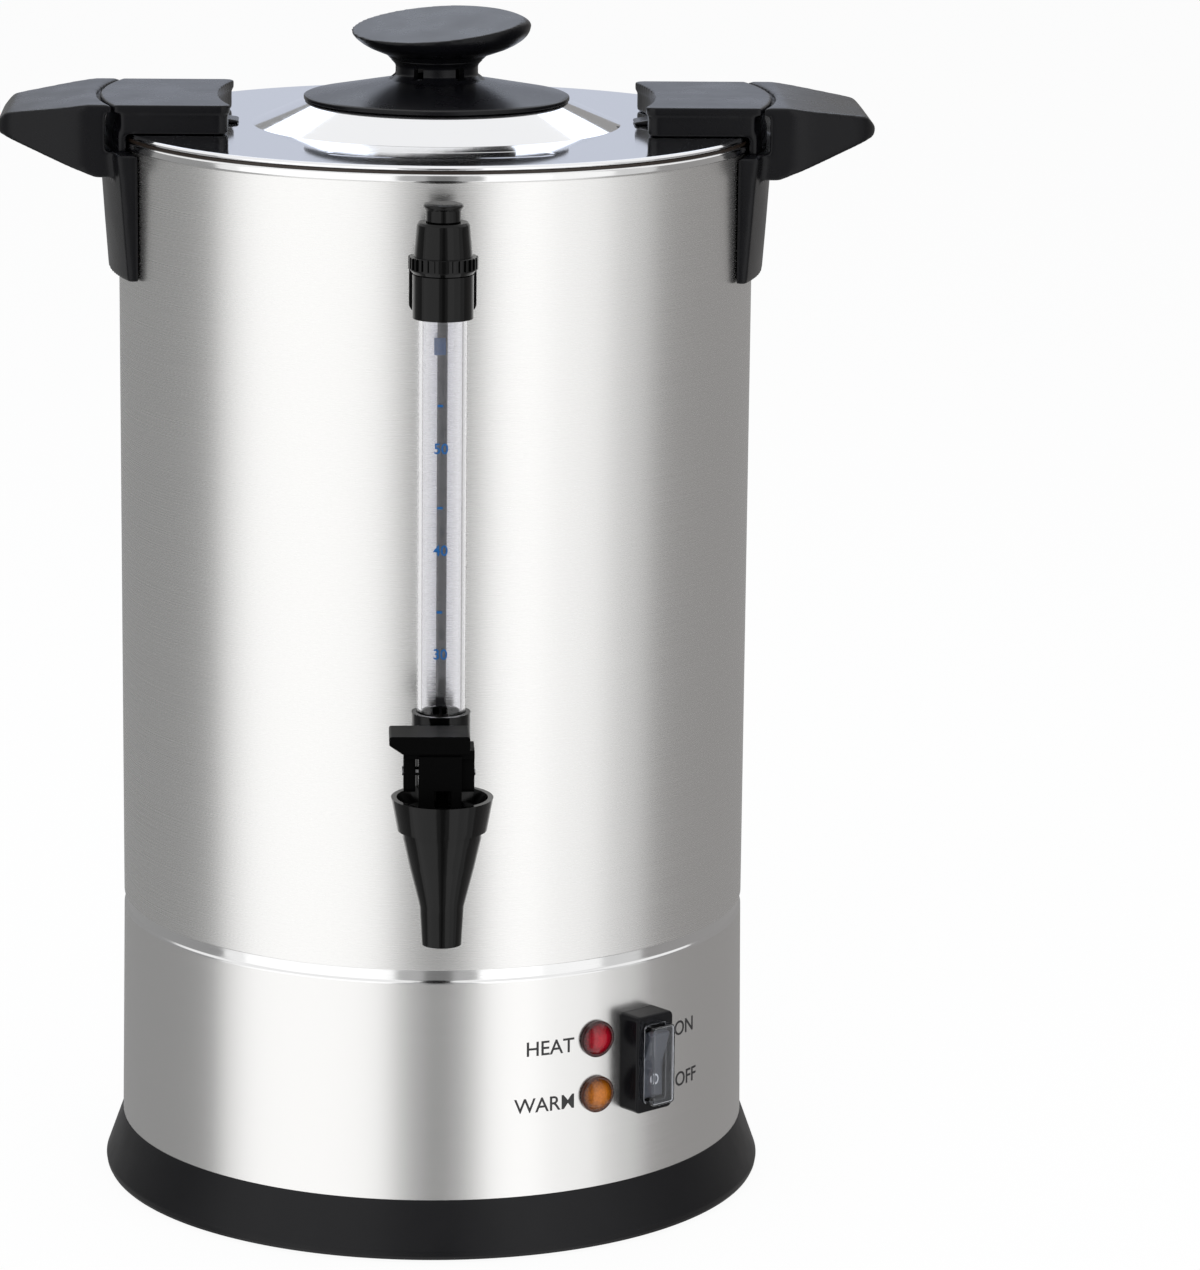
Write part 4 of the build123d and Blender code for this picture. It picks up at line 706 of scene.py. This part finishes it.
tank_outline = [(WALL_R, SEAM_Z), (TANK_R, SEAM_Z, 0.35), (TANK_R, BEAD_LOW_Z, 0.5),
                (BEAD_R, BEAD_LOW_Z, 1.2), (BEAD_R, RIM_Z, 1.3), (WALL_R, RIM_Z, 0.5)]
tank = turned("tank_shell", tank_outline, STEEL, "tank_wall", 256)
outside = [(SKIRT_LOW_R, SKIRT_LOW_Z), (TANK_R, GROOVE_Z, 0.9), (NECK_R, GROOVE_Z + 0.85, 0.5),
           (NECK_R, NECK_TOP_Z)]
inside = [(NECK_R - SHEET, NECK_TOP_Z), (NECK_R - SHEET, GROOVE_Z + 0.45), (WALL_R, GROOVE_Z - 0.4),
          (SKIRT_LOW_R - SHEET, SKIRT_LOW_Z)]
skirt = turned("skirt_shell", outside + inside, STEEL_SKIRT, "skirt", 256)
print("tank", len(tank.data.polygons), "faces before the openings")

# %% [markdown]
# ### Openings in the skirt
#
# The switch, the two lamps and the mains inlet sit in holes, so the skirt is cut with a block for each. The
# even shading is switched off during a cut, because it has to stay a live modifier and not be baked in.

# %% Openings
SWITCH_HOLE, INLET_HOLE, LAMP_HOLE = (13.2, 27.6), (27.8, 20.2), (7.6, 7.6)
CUT_DEPTH = 12


def cut_wall(target, azimuth, z, hole):
    """Cuts a rectangular opening through a wall piece."""
    bm = bmesh.new()
    bmesh.ops.create_cube(bm, size=1.0)
    bmesh.ops.scale(bm, vec=Vector((*hole, CUT_DEPTH)) * MM, verts=bm.verts)
    bmesh.ops.transform(bm, matrix=on_wall(azimuth, skirt_radius(z), z), verts=bm.verts)
    target.modifiers["even"].show_viewport = False
    combine(target, link_mesh("cutter", bm), "DIFFERENCE")
    target.modifiers["even"].show_viewport = True


def brighter_above(obj, z):
    """Gives the faces above a height the steel of the groove and the bead."""
    obj.data.materials.append(GROOVE_STEEL)
    for face in obj.data.polygons:
        if face.center.z > z * MM:
            face.material_index = 1


cut_wall(skirt, SWITCH_AZ, SWITCH_Z, SWITCH_HOLE)
cut_wall(skirt, INLET_AZ, INLET_Z, INLET_HOLE)
for lamp_z in (AMBER_Z, RED_Z):
    cut_wall(skirt, LAMP_AZ, lamp_z, LAMP_HOLE)
brighter_above(skirt, GROOVE_Z - 0.3)
brighter_above(tank, BEAD_LOW_Z - 0.1)
finished(STEEL, "tank_floor")
print("tank", len(tank.data.polygons), "faces; skirt", len(skirt.data.polygons), "faces")

# %% [markdown]
# ## The plinth and what stands under it
#
# The plinth is a flared ring that hides the skirt's lower edge and clears the counter on four rubber feet.
# Its outside is turned here; the vented cover, the feet and the screws keep their CAD shapes.

# %% Plinth
EDGE_Z, FLARE_Z, LEDGE_Z, COLLAR_Z = 1.0, 4.2, 18.2, 27.0

outside = [(111.2, SKIRT_LOW_Z, 0.4), (117.2, FLARE_Z, 2.0), (116.9, 2.4, 1.0), (116.2, EDGE_Z, 0.7)]
inside = [(113.2, EDGE_Z, 0.3), (113.9, FLARE_Z), (108.5, LEDGE_Z), (105.5, LEDGE_Z), (105.5, SKIRT_LOW_Z)]
collar = [(107.6, SKIRT_LOW_Z), (107.6, COLLAR_Z, 0.4), (110.1, COLLAR_Z, 0.4), (110.1, SKIRT_LOW_Z)]
plinth = turned("plinth_ring", outside + inside + collar, PLINTH, "plinth", 224)
refined("base_cover", "cover_plate", PLINTH)
finished(RUBBER, "rubber_feet")
finished(ZINC, "base_screws", "tie_nuts", "handle_screws", "ear_screws", "knob_screw")
print("plinth", len(plinth.data.polygons), "faces")

# %% [markdown]
# ## The lid
#
# The lid is one polished pressing: a short hem, a wide flat flange, a shallow step and a low cone that
# rises to the knob. A plain panel, a stadium bent round the lid, is raised on the front of the flange. It is
# three nested loops at rising heights, which gives it a sloping edge.

# %% Lid pressing
LID_EDGE_R, HEM_DROP = 110.9, 1.7
KNOB_HOLE_R = 2.65
PANEL_R, PANEL_HALF = 85.0, 8.0                             # the panel's middle line and half its width
PANEL_SIDE = math.radians(21.0)                             # from its middle to the centre of each end
PANEL_STEPS = ((0.0, -0.02), (1.8, 0.09), (2.6, 0.10))      # inset from the edge, height above the flange


def panel_loop(inset):
    """The panel's outline, drawn in from its edge."""
    half = PANEL_HALF - inset
    arc = np.linspace(-PANEL_SIDE, PANEL_SIDE, 40)
    loop = [((PANEL_R + half) * math.sin(a), -(PANEL_R + half) * math.cos(a)) for a in arc]
    for end, start in ((1, 0), (-1, math.pi)):
        centre = (PANEL_R * math.sin(end * PANEL_SIDE), -PANEL_R * math.cos(end * PANEL_SIDE))
        out = math.atan2(-math.cos(end * PANEL_SIDE), math.sin(end * PANEL_SIDE))
        turns = [out + start + t for t in np.linspace(0, math.pi, 12)[1:-1]]
        loop += [(centre[0] + half * math.cos(t), centre[1] + half * math.sin(t)) for t in turns]
        if end == 1:
            loop += [((PANEL_R - half) * math.sin(a), -(PANEL_R - half) * math.cos(a)) for a in arc[::-1]]
    return loop


def pressed_lid():
    """The lid turned from its outline, with the plain panel on its front."""
    flat, top = LID_FLAT_Z, LID_TOP_Z
    upper = [(KNOB_HOLE_R, top), (45.0, top, 1.5), (64.0, flat, 0.8), (109.7, flat, 0.6)]
    hem = [(LID_EDGE_R, flat - 0.85, 0.8), (110.1, flat - HEM_DROP, 0.3), (108.9, flat - HEM_DROP)]
    under = [(108.9, flat - SHEET), (63.6, flat - SHEET), (44.6, top - SHEET), (KNOB_HOLE_R, top - SHEET)]
    bm = spin(rounded(upper + hem + under, 6), 256)
    rings = [[bm.verts.new((x * MM, y * MM, (flat + lift) * MM)) for x, y in panel_loop(inset)]
             for inset, lift in PANEL_STEPS]
    faces = []
    for ring, following in zip(rings, rings[1:]):
        faces += bridge(bm, ring, following)
    faces.append(bm.faces.new(rings[-1]))
    faces.append(bm.faces.new(rings[0][::-1]))
    bmesh.ops.recalc_face_normals(bm, faces=faces)
    return bm


lid = even_shading(link_mesh("lid_pressing", pressed_lid()), 40)
place_piece(lid, MIRROR, "lid_shell", ("lid_shell",))
# the seal's brown-black is painted shadow of the gap under the lid's hem
finished(SEAL_AND_GAP_SHADE, "lid_seal")
print("lid", len(lid.data.polygons), "faces")

# %% [markdown]
# ## The ears
#
# The ears are black mouldings screwed onto the lid's flange, and they turn with it between the handles. Each
# is a thin cover plate on a slightly smaller block, so that a shadow line runs between the two. A lip reaches
# down over the rim and a small tail points to the knob.

# %% Ears
HOLLOW_X = -44.5                # the axis of the arc that hollows an ear's inner side
EAR_CORNER = 4.5
LIP_HALF, TAIL_HALF = 36.2, 6


def ear_slab(outer, half, low, high, hollow):
    """A slab with an arc round the urn outside, a hollow arc inside and rounded corners."""
    a, b = math.asin(half / outer), math.asin(half / hollow)
    corner = HOLLOW_X + hollow * math.cos(b)
    plan = [(outer * math.cos(t), outer * math.sin(t)) for t in np.linspace(-a, a, 25)]
    plan += [(corner, half, EAR_CORNER)]
    turns = np.linspace(0.75 * b, -0.75 * b, 15)
    plan += [(HOLLOW_X + hollow * math.cos(t), hollow * math.sin(t)) for t in turns]
    plan += [(corner, -half, EAR_CORNER)]
    return prism("slab", rounded(plan, 6), (low, high), True)


def ear_moulding():
    """The right-hand ear: a cover plate on a block, with a lip over the rim and a low tail."""
    seat = LID_FLAT_Z + 0.05
    made = ear_slab(116.0, 37.4, 383.1, 385.85, 120.0)
    combine(made, ear_slab(113.8, 36.7, LID_FLAT_Z + 0.1, 383.6, 120.5), "UNION")
    lip = prism("lip", strip(90, 120, LIP_HALF), (369.2, 377.0), True)
    ring = lathed("ring", [(111.9, 368.0), (114.5, 368.0), (114.5, 378.0), (111.9, 378.0)])
    combine(lip, ring, "INTERSECT")
    combine(made, lip, "UNION")
    side = [(68.2, seat), (68.2, seat + 0.95), (77, seat + 2.45), (77, seat)]
    combine(made, prism("tail", side, (-TAIL_HALF, TAIL_HALF)), "UNION")
    return softened(made, 0.6, 8)


ear_right = ear_moulding()
ear_right.name = "ear_right_moulding"
ear_left = mirrored(ear_right, "ear_left_moulding")
place_piece(ear_right, SATIN, "ear_right", ("ear_right",))
place_piece(ear_left, SATIN, "ear_left", ("ear_left",))
print("ear", len(ear_right.data.polygons), "faces")

# %% [markdown]
# ## The knob's disc and neck
#
# A disc keeps fingers off the hot lid, and its hollow neck has windows that let the steam out. The disc and
# neck are turned, and each window is cut out as a small block.

# %% Knob disc and neck
KNOB_SEAT_R, KNOB_SEAT_Z = 16.2, 398.0      # where the cap sits on the neck
KNOB_BORE_R = 11.0
NECK_OUT_R = 14.3
WINDOW_COUNT, FIRST_WINDOW = 6, 63          # degrees to the first one
WINDOW_SPAN = (391.8, 395.8)
DISC_Z = LID_TOP_Z + 0.05                   # just off the lid

foot = [(KNOB_BORE_R, DISC_Z), (46.0, DISC_Z, 0.3), (46.0, 385.2, 0.5), (45.0, 385.6, 0.5)]
neck = [(16.8, 390.9, 2.5), (NECK_OUT_R, 392.8, 1.2), (NECK_OUT_R, 396.0, 2.0)]
seat = [(KNOB_SEAT_R, KNOB_SEAT_Z, 0.3), (KNOB_BORE_R, KNOB_SEAT_Z)]
knob_disc = link_mesh("knob_disc", spin(rounded(foot + neck + seat), 192))
for n in range(WINDOW_COUNT):
    window = prism("window", strip(9, 19, 1.8), WINDOW_SPAN, True)
    window.data.transform(Matrix.Rotation(math.radians(n * 360 / WINDOW_COUNT + FIRST_WINDOW), 4, "Z"))
    combine(knob_disc, window, "DIFFERENCE")
place_piece(even_shading(knob_disc), SATIN, "knob_skirt", ("knob_skirt",))
print("knob disc", len(knob_disc.data.polygons), "faces")

# %% [markdown]
# ## The knob's cap
#
# The cap is a mushroom: round where it sits on the neck, oval at its rim and domed above. Its rings are
# stretched into ovals step by step as they get wider, and a leaning plane then cuts one soft facet off the
# dome.

# %% Knob cap
CAP_RX, CAP_RY, CAP_RIM_Z = 31.4, 24.0, 409.6
CROWN_RISE = 6.9
CAP_SHIFT = 1.2                     # how far the oval's middle is off the neck's axis
CAP_BORE_R, CAP_BORE_TOP_Z = 2.6, 408.5
CAP_POINTS = 128
FACET_Z, FACET_LEAN = 410.1, (-0.10, -0.165, 1)


def cap_ring(bm, r, z):
    """One level of the cap: round inside the seat and an oval at the rim."""
    oval = max(0.0, min(1.0, (r - KNOB_SEAT_R) / (CAP_RX - KNOB_SEAT_R)))
    ratio = 1 - oval * (1 - CAP_RY / CAP_RX)
    shift = CAP_SHIFT * oval if z < CAP_RIM_Z else CAP_SHIFT
    if r < 3:
        shift = 0
    turns = np.linspace(0, 2 * math.pi, CAP_POINTS + 1)[:-1]
    return [bm.verts.new(Vector((shift + r * math.cos(t), ratio * r * math.sin(t), z)) * MM) for t in turns]


def mushroom():
    """The knob's cap with its soft leaning facet."""
    bore = [(CAP_BORE_R, CAP_BORE_TOP_Z), (CAP_BORE_R, KNOB_SEAT_Z), (KNOB_SEAT_R, KNOB_SEAT_Z)]
    under = [(17.3, 399.3), (20.2, 400.3), (23.5, 401.5), (26.4, 403.0), (28.8, 404.7), (30.2, 406.2),
             (31.0, 407.7), (CAP_RX, CAP_RIM_Z)]
    dome = [(CAP_RX * math.cos(t), CAP_RIM_Z + CROWN_RISE * math.sin(t))
            for t in np.linspace(0, math.pi / 2, 16)[1:-1]]
    bm = bmesh.new()
    rings = [cap_ring(bm, r, z) for r, z in bore + under + dome]
    top = bm.verts.new(Vector((CAP_SHIFT, 0, CAP_RIM_Z + CROWN_RISE)) * MM)
    for ring, following in zip(rings, rings[1:] + [[top] * CAP_POINTS]):
        bridge(bm, ring, following)
    bm.faces.new(rings[0][::-1])
    bmesh.ops.recalc_face_normals(bm, faces=bm.faces)
    made = link_mesh("knob_mushroom", bm)
    facet = prism("facet", strip(-60, 60, 60), (0, 40), True)
    lean = Vector(FACET_LEAN).to_track_quat("Z", "Y").to_matrix().to_4x4()
    facet.data.transform(Matrix.Translation(Vector((0, 0, FACET_Z)) * MM) @ lean)
    return softened(combine(made, facet, "DIFFERENCE"), 0.5, 5)


knob_cap = place_piece(mushroom(), SATIN, "knob_cap", ("knob_cap",))
print("knob cap", len(knob_cap.data.polygons), "faces")

# %% [markdown]
# ## The handles
#
# Each handle is a broad wing that reaches out over the side and a leg that comes down and hugs the tank. It
# is moulded in heat-proof plastic round two brass inserts and screwed on from inside the tank. The wing is
# what a side view and a plan have in common, the leg is a slice of a turned ring, and one stepped lathe
# cutter makes the room for the tank, the rim and the ear.

# %% Handles
LEG_IN_R = 110.4                    # the leg's inner face, just clear of the tank
LEG_LOW_Z, LEG_TOP_Z, LEG_HALF = 326.2, 369.4, 43
WING_TOP_Z, WING_LOW_Z, WING_HALF = 386.0, 361.0, 37.5
TIP_X, TIP_HALF = 151.4, 25
SHELF_Z, SHELF_R = 369.8, 118.8     # where the ear's lip runs
EAR_GAP_Z, EAR_GAP_R = 383.2, 117.1


def handle_moulding():
    """The right-hand handle: a wing with rounded ends, a leg curved to the tank and room for the ear."""
    side = rounded([(100, WING_TOP_Z), (119, WING_TOP_Z, 10), (147.2, 381.9, 3.5), (150.9, 377.6, 2.5),
                    (150.4, 374.6, 3.5), (116.4, WING_LOW_Z, 2.0), (100, WING_LOW_Z)], 6)
    plan = rounded([(90, -WING_HALF), (125, -WING_HALF, 20), (TIP_X, -TIP_HALF, 14), (TIP_X, TIP_HALF, 14),
                    (125, WING_HALF, 20), (90, WING_HALF)], 10)
    made = prism("wing", side, (-40, 40))
    combine(made, prism("plan", plan, (350, 390), True), "INTERSECT")
    leg = lathed("leg", [(LEG_IN_R, LEG_LOW_Z), (113.6, LEG_LOW_Z), (114.8, 343), (115.9, 360),
                         (117.0, 369.6), (LEG_IN_R, 369.6)])
    combine(leg, prism("sector", strip(90, 125, LEG_HALF), (320, LEG_TOP_Z), True), "INTERSECT")
    combine(made, leg, "UNION")
    room = lathed("room", [(0, 320), (LEG_IN_R, 320), (LEG_IN_R, SHELF_Z), (SHELF_R, SHELF_Z),
                           (SHELF_R, EAR_GAP_Z), (EAR_GAP_R, EAR_GAP_Z), (EAR_GAP_R, 390), (0, 390)])
    combine(made, room, "DIFFERENCE")
    return softened(made, 0.75, 8)


handle_right = handle_moulding()
handle_right.name = "handle_right_moulding"
handle_left = mirrored(handle_right, "handle_left_moulding")
place_piece(handle_right, SATIN, "handle_right", ("handle_right",))
place_piece(handle_left, SATIN, "handle_left", ("handle_left",))
finished(BRASS, "handle_inserts")
print("handle", len(handle_right.data.polygons), "faces")

# %% [markdown]
# ## The sight gauge
#
# The tube shows the level through its clear wall. Its foot stands in the tap shank and its top is held by a
# fitting that a spacer keeps off the tank. A ribbed ring screws down on a seal, and a cap with a finger
# plug closes the tube so that it can be cleaned with a long brush.

# %% Gauge fittings
finished(TUBE, "gauge_tube")
finished(SILICONE, "gauge_seals", "wall_washers", "valve_cup")
refined("gauge_barrel", "gauge_fitting", GLOSS, 0.25)
refined("gauge_saddle", "gauge_spacer", GLOSS, 0.4)
refined("gauge_cap", "gauge_top_cap", GLOSS, 0.2)
refined("gauge_plug", "gauge_finger_plug", GLOSS, 0.2)
finished(GLOSS, "gauge_nut")
print("gauge fittings in", GLOSS.name)

# %% [markdown]
# ### The ribbed ring
#
# Fingers grip the ring by thirty small ribs. Geometry Nodes put one block on each point of a circle and turn
# it to face outwards, with the count, the radius and the rib's size as inputs, and the result is baked into
# the ring's mesh.

# %% Ribs by Geometry Nodes
RING_LOW_Z, RING_TOP_Z = 342.2, 348.1
RING_IN_R, RING_BORE_R, RING_OUT_R = 8.2, 9.65, 10.85
RIB_COUNT, RIB_CIRCLE_R, RIB_Z = 30, 10.75, 346.0
RIB_SIZE = (1.3 * MM, 1.0 * MM, 3.9 * MM)


def rib_nodes():
    """Geometry Nodes: adds evenly spaced ribs round an upright ring to the geometry that comes in."""
    tree = bpy.data.node_groups.new("ribs_round_a_ring", "GeometryNodeTree")
    for name, kind in (("Geometry", "Geometry"), ("Count", "Int"), ("Radius", "Float"), ("Centre", "Vector"),
                       ("Rib Size", "Vector"), ("Finish", "Material")):
        tree.interface.new_socket(name, in_out="INPUT", socket_type="NodeSocket" + kind)
    tree.interface.new_socket("Geometry", in_out="OUTPUT", socket_type="NodeSocketGeometry")
    given = tree.nodes.new("NodeGroupInput")
    result = tree.nodes.new("NodeGroupOutput")
    circle = tree.nodes.new("GeometryNodeMeshCircle")
    place = tree.nodes.new("GeometryNodeTransform")
    rib = tree.nodes.new("GeometryNodeMeshCube")
    index = tree.nodes.new("GeometryNodeInputIndex")
    step = tree.nodes.new("ShaderNodeMath")
    turn = tree.nodes.new("ShaderNodeMath")
    facing = tree.nodes.new("ShaderNodeCombineXYZ")
    spread = tree.nodes.new("GeometryNodeInstanceOnPoints")
    join = tree.nodes.new("GeometryNodeJoinGeometry")
    real = tree.nodes.new("GeometryNodeRealizeInstances")
    paint = tree.nodes.new("GeometryNodeSetMaterial")
    step.operation, turn.operation = "DIVIDE", "MULTIPLY"
    step.inputs[0].default_value = 2 * math.pi
    for source, target in ((given.outputs["Count"], circle.inputs["Vertices"]),
                           (given.outputs["Radius"], circle.inputs["Radius"]),
                           (circle.outputs["Mesh"], place.inputs["Geometry"]),
                           (given.outputs["Centre"], place.inputs["Translation"]),
                           (given.outputs["Rib Size"], rib.inputs["Size"]),
                           (given.outputs["Count"], step.inputs[1]),
                           (index.outputs["Index"], turn.inputs[0]),
                           (step.outputs[0], turn.inputs[1]),
                           (turn.outputs[0], facing.inputs["Z"]),
                           (place.outputs["Geometry"], spread.inputs["Points"]),
                           (rib.outputs["Mesh"], spread.inputs["Instance"]),
                           (facing.outputs[0], spread.inputs["Rotation"]),
                           (spread.outputs["Instances"], join.inputs["Geometry"]),
                           (given.outputs["Geometry"], join.inputs["Geometry"]),
                           (join.outputs["Geometry"], real.inputs["Geometry"]),
                           (real.outputs["Geometry"], paint.inputs["Geometry"]),
                           (given.outputs["Finish"], paint.inputs["Material"]),
                           (paint.outputs["Geometry"], result.inputs[0])):
        tree.links.new(source, target)
    return tree


ring_outline = [(RING_IN_R, RING_LOW_Z), (9.75, RING_LOW_Z, 0.3), (RING_OUT_R, 343.7, 0.4),
                (RING_OUT_R, RING_TOP_Z, 0.4), (RING_BORE_R, RING_TOP_Z), (RING_BORE_R, 344.2),
                (RING_IN_R, 344.2)]
ring = link_mesh("gauge_ribbed_ring", spin(rounded(ring_outline, 4), 120, (0, GAUGE_Y)))
ribs = ring.modifiers.new("ribs", "NODES")
ribs.node_group = rib_nodes()
items = ribs.node_group.interface.items_tree
sockets = {item.name: item.identifier for item in items if item.in_out == "INPUT"}
for name, value in (("Count", RIB_COUNT), ("Radius", RIB_CIRCLE_R * MM),
                    ("Centre", (0, GAUGE_Y * MM, RIB_Z * MM)), ("Rib Size", RIB_SIZE), ("Finish", GLOSS)):
    ribs[sockets[name]] = value
ribbed = baked(ring)
ring.modifiers.clear()
ring.data = ribbed
place_piece(even_shading(ring), GLOSS, "gauge_ring", ("gauge_ring",))
print("ribbed ring", len(ring.data.polygons), "faces")

# %% [markdown]
# ## Printed marks on the gauge
#
# A dark line behind the tube makes the level easy to read, and small blue figures count the cups. Print has
# almost no thickness, so the line and the top mark are thin prisms. Figures and words are text curves turned
# into a mesh, whose points are then bent round the wall that they are printed on.

# %% Line, top mark and cup figures
TUBE_PRINT_R = 8.15                         # where the blue print lies round the gauge's axis
PRINT_GAP = 0.03                            # between a wall and its print
CAP_SHARE = 0.69                            # a capital's height as a share of the text size
CUP_MARKS = (("50", 285.5), ("40", 251.5), ("30", 216.5))
TICK_RISE = 15.0                            # from a figure to the tick above it


def lettering(name, text, cap, radius, azimuth, z, align, finish, centre=(0, 0)):
    """Printed text, bent round an upright axis. radius gives the wall's radius at a height."""
    curve = bpy.data.curves.new(name, "FONT")
    curve.body, curve.size, curve.extrude, curve.offset = text, cap / CAP_SHARE, 0.04, 0.05
    curve.align_x, curve.align_y = align, "CENTER"
    source = bpy.data.objects.new(name, curve)
    scene.collection.objects.link(source)
    bm = bmesh.new()
    bm.from_mesh(baked(source))
    bpy.data.objects.remove(source)
    bmesh.ops.remove_doubles(bm, verts=bm.verts, dist=0.00001)
    for vert in bm.verts:
        x, up, out = vert.co
        r = radius(z + up) + PRINT_GAP + out
        turn = math.radians(azimuth) + x / r
        vert.co = Vector((centre[0] + r * math.sin(turn), centre[1] - r * math.cos(turn), z + up)) * MM
    return place_piece(link_mesh(name, bm), finish, "switch_body")


def tube_print_radius(height):
    """The tube is straight, so its print has one radius at every height."""
    return TUBE_PRINT_R


line = prism("gauge_back_line", [(-1.9, 326.5), (2.1, 326.5), (2.1, 191), (0.1, 186), (-1.9, 191)],
             (GAUGE_Y + 8.22, GAUGE_Y + 8.30))
place_piece(line, PRINT, "switch_body")
level = prism("gauge_full_mark", [(-3.2, 319.9), (-3.2, 314.1), (1.4, 314.1), (1.4, 319.9)],
              (GAUGE_Y + 8.16, GAUGE_Y + 8.20))
place_piece(level, PRINT_BLUE, "switch_body")
for text, z in CUP_MARKS:
    lettering("gauge_number_" + text, text, 3.4, tube_print_radius, -4, z, "CENTER", PRINT_BLUE, (0, GAUGE_Y))
    lettering("gauge_tick_" + text, "-", 5.0, tube_print_radius, -6, z + TICK_RISE, "CENTER", PRINT_BLUE,
              (0, GAUGE_Y))
print("cup figures:", [text for text, z in CUP_MARKS])

# %% [markdown]
# ## The tap
#
# Pulling or pressing the lever lifts the stem against its spring and opens the valve in the cup, so that
# the coffee falls straight down the spout. All of its outside parts are turned or moulded in gloss black.

# %% Tap
for node, name in (("tap_shank", "tap_shank_casting"), ("tap_body", "tap_body_casting"),
                   ("tap_bonnet", "tap_bonnet_ring"), ("tap_stem", "tap_stem_head")):
    refined(node, name, GLOSS, 0.25)
refined("tap_lever", "tap_lever_moulding", LEVER, 0.5, 4)
finished(GLOSS, "tap_nut")
finished(ZINC, "tap_spring", "lever_pin")
tap_bodies = {frame["nodes"][node]["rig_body"] for node in ("tap_body", "tap_stem", "tap_lever")}
print("tap pieces ride on", sorted(tap_bodies))

# %% [markdown]
# ## The lamps, the switch and the mains inlet
#
# Two indicator lamps tell that the urn heats and that it keeps warm. The rocker sits in a frame behind a
# clear hood that keeps drips out, and the mains lead plugs into the inlet at the back.

# %% Lamps, switch and inlet
refined("switch_body", "switch_frame", SWITCH, 0.3)
refined("switch_rocker", "switch_rocker_key", ROCKER, 0.3)
refined("switch_hood", "switch_clear_hood", HOOD, 0.25)
refined("mains_inlet", "inlet_moulding", SWITCH, 0.4)
finished(ZINC, "inlet_pins")
finished(RED, "red_lens")
finished(AMBER, "amber_lens")
finished(SWITCH, "lamp_housings")
print("lamps at", LAMP_AZ, "degrees; switch at", SWITCH_AZ, "degrees")

# %% [markdown]
# ### The words and the ring on the rocker
#
# Plain words say what each lamp and each end of the rocker means. The ring that marks the rocker's off end
# is a thin turned washer. Its place is found by a ray sent straight at the rocker from outside, so that it
# lies flat on whatever slope the rocker has there.

# %% Words and the rocker's ring
LEGENDS = (("HEAT", 25.0, 72.5, "RIGHT"), ("WARM", 25.2, 52.5, "RIGHT"), ("ON", 48.3, 69.5, "LEFT"),
           ("OFF", 48.6, 51.0, "LEFT"))
LEGEND_CAP = 5.0
RING_ACROSS, RING_DOWN = 0.6, 6.2       # from the rocker's middle
RING_STRETCH = 1.2                      # taller than wide
RAY_START = 0.03                        # metres in front of the skirt

for text, azimuth, z, align in LEGENDS:
    lettering("legend_" + text.lower(), text, LEGEND_CAP, skirt_radius, azimuth, z, align, PRINT)
face_on = on_wall(SWITCH_AZ, skirt_radius(SWITCH_Z), SWITCH_Z)
spot = face_on @ Vector((RING_ACROSS * MM, -RING_DOWN * MM, RAY_START))
inward = -(face_on.to_3x3() @ Vector((0, 0, 1)))
rocker = frame["nodes"]["switch_rocker"].data
surface = BVHTree.FromPolygons([v.co for v in rocker.vertices], [f.vertices for f in rocker.polygons])
where, normal, _, _ = surface.ray_cast(spot, inward)
washer = [(1.15, -0.04), (1.65, -0.04), (1.65, 0.05), (1.15, 0.05)]
ring_mark = link_mesh("rocker_ring_mark", spin(washer, 48))
along = face_on.to_3x3() @ Vector((1, 0, 0))
up = normal.cross(along).normalized()
seat = Matrix((up.cross(normal).normalized(), up * RING_STRETCH, normal)).transposed().to_4x4()
seat.translation = where
ring_mark.data.transform(seat)
place_piece(ring_mark, PRINT_WHITE, "switch_rocker")
print("rocker mark at", [round(v, 4) for v in where])

# %% [markdown]
# ## The heater and the wiring
#
# Under the tank floor a cast ring plate carries the main heating element, and a small disc element keeps
# the well warm. A strap, a tie rod and nuts press them up; two thermostats and a thermal fuse switch them.

# %% Inside the base
finished(ALLOY, "heater_plate")
finished(DULL_STEEL, "heater_element", "warming_element", "heat_shield")
finished(ZINC, "heater_bracket", "tie_rod", "thermostats")
finished(CERAMIC, "terminal_block")
finished(MICA, "thermal_fuse")
finished(SLEEVE, "wiring")
print("heater plate in", ALLOY.name)

# %% [markdown]
# ## The percolator
#
# The pump tube stands in the tank's well on a scalloped foot. Hot water rises through it, hits the spray
# cap and falls through the coffee in the basket, whose wall is beaded to make the thin sheet stiff.

# %% Basket and pump
refined("basket", "basket_pressing", BASKET_STEEL, 0.2, 2, 24)
finished(BASKET_STEEL, "pump_tube", "spray_cap", "pump_foot")
print("percolator in", BASKET_STEEL.name)

# %% [markdown]
# ## A last look at the materials
#
# Every CAD node should end with a material, so we list the ones that have none.

# %% Finish
missing = [name for name, node in frame["nodes"].items()
           if not node.data.materials or not node.data.materials[0]]
print("CAD nodes without a material:", missing)
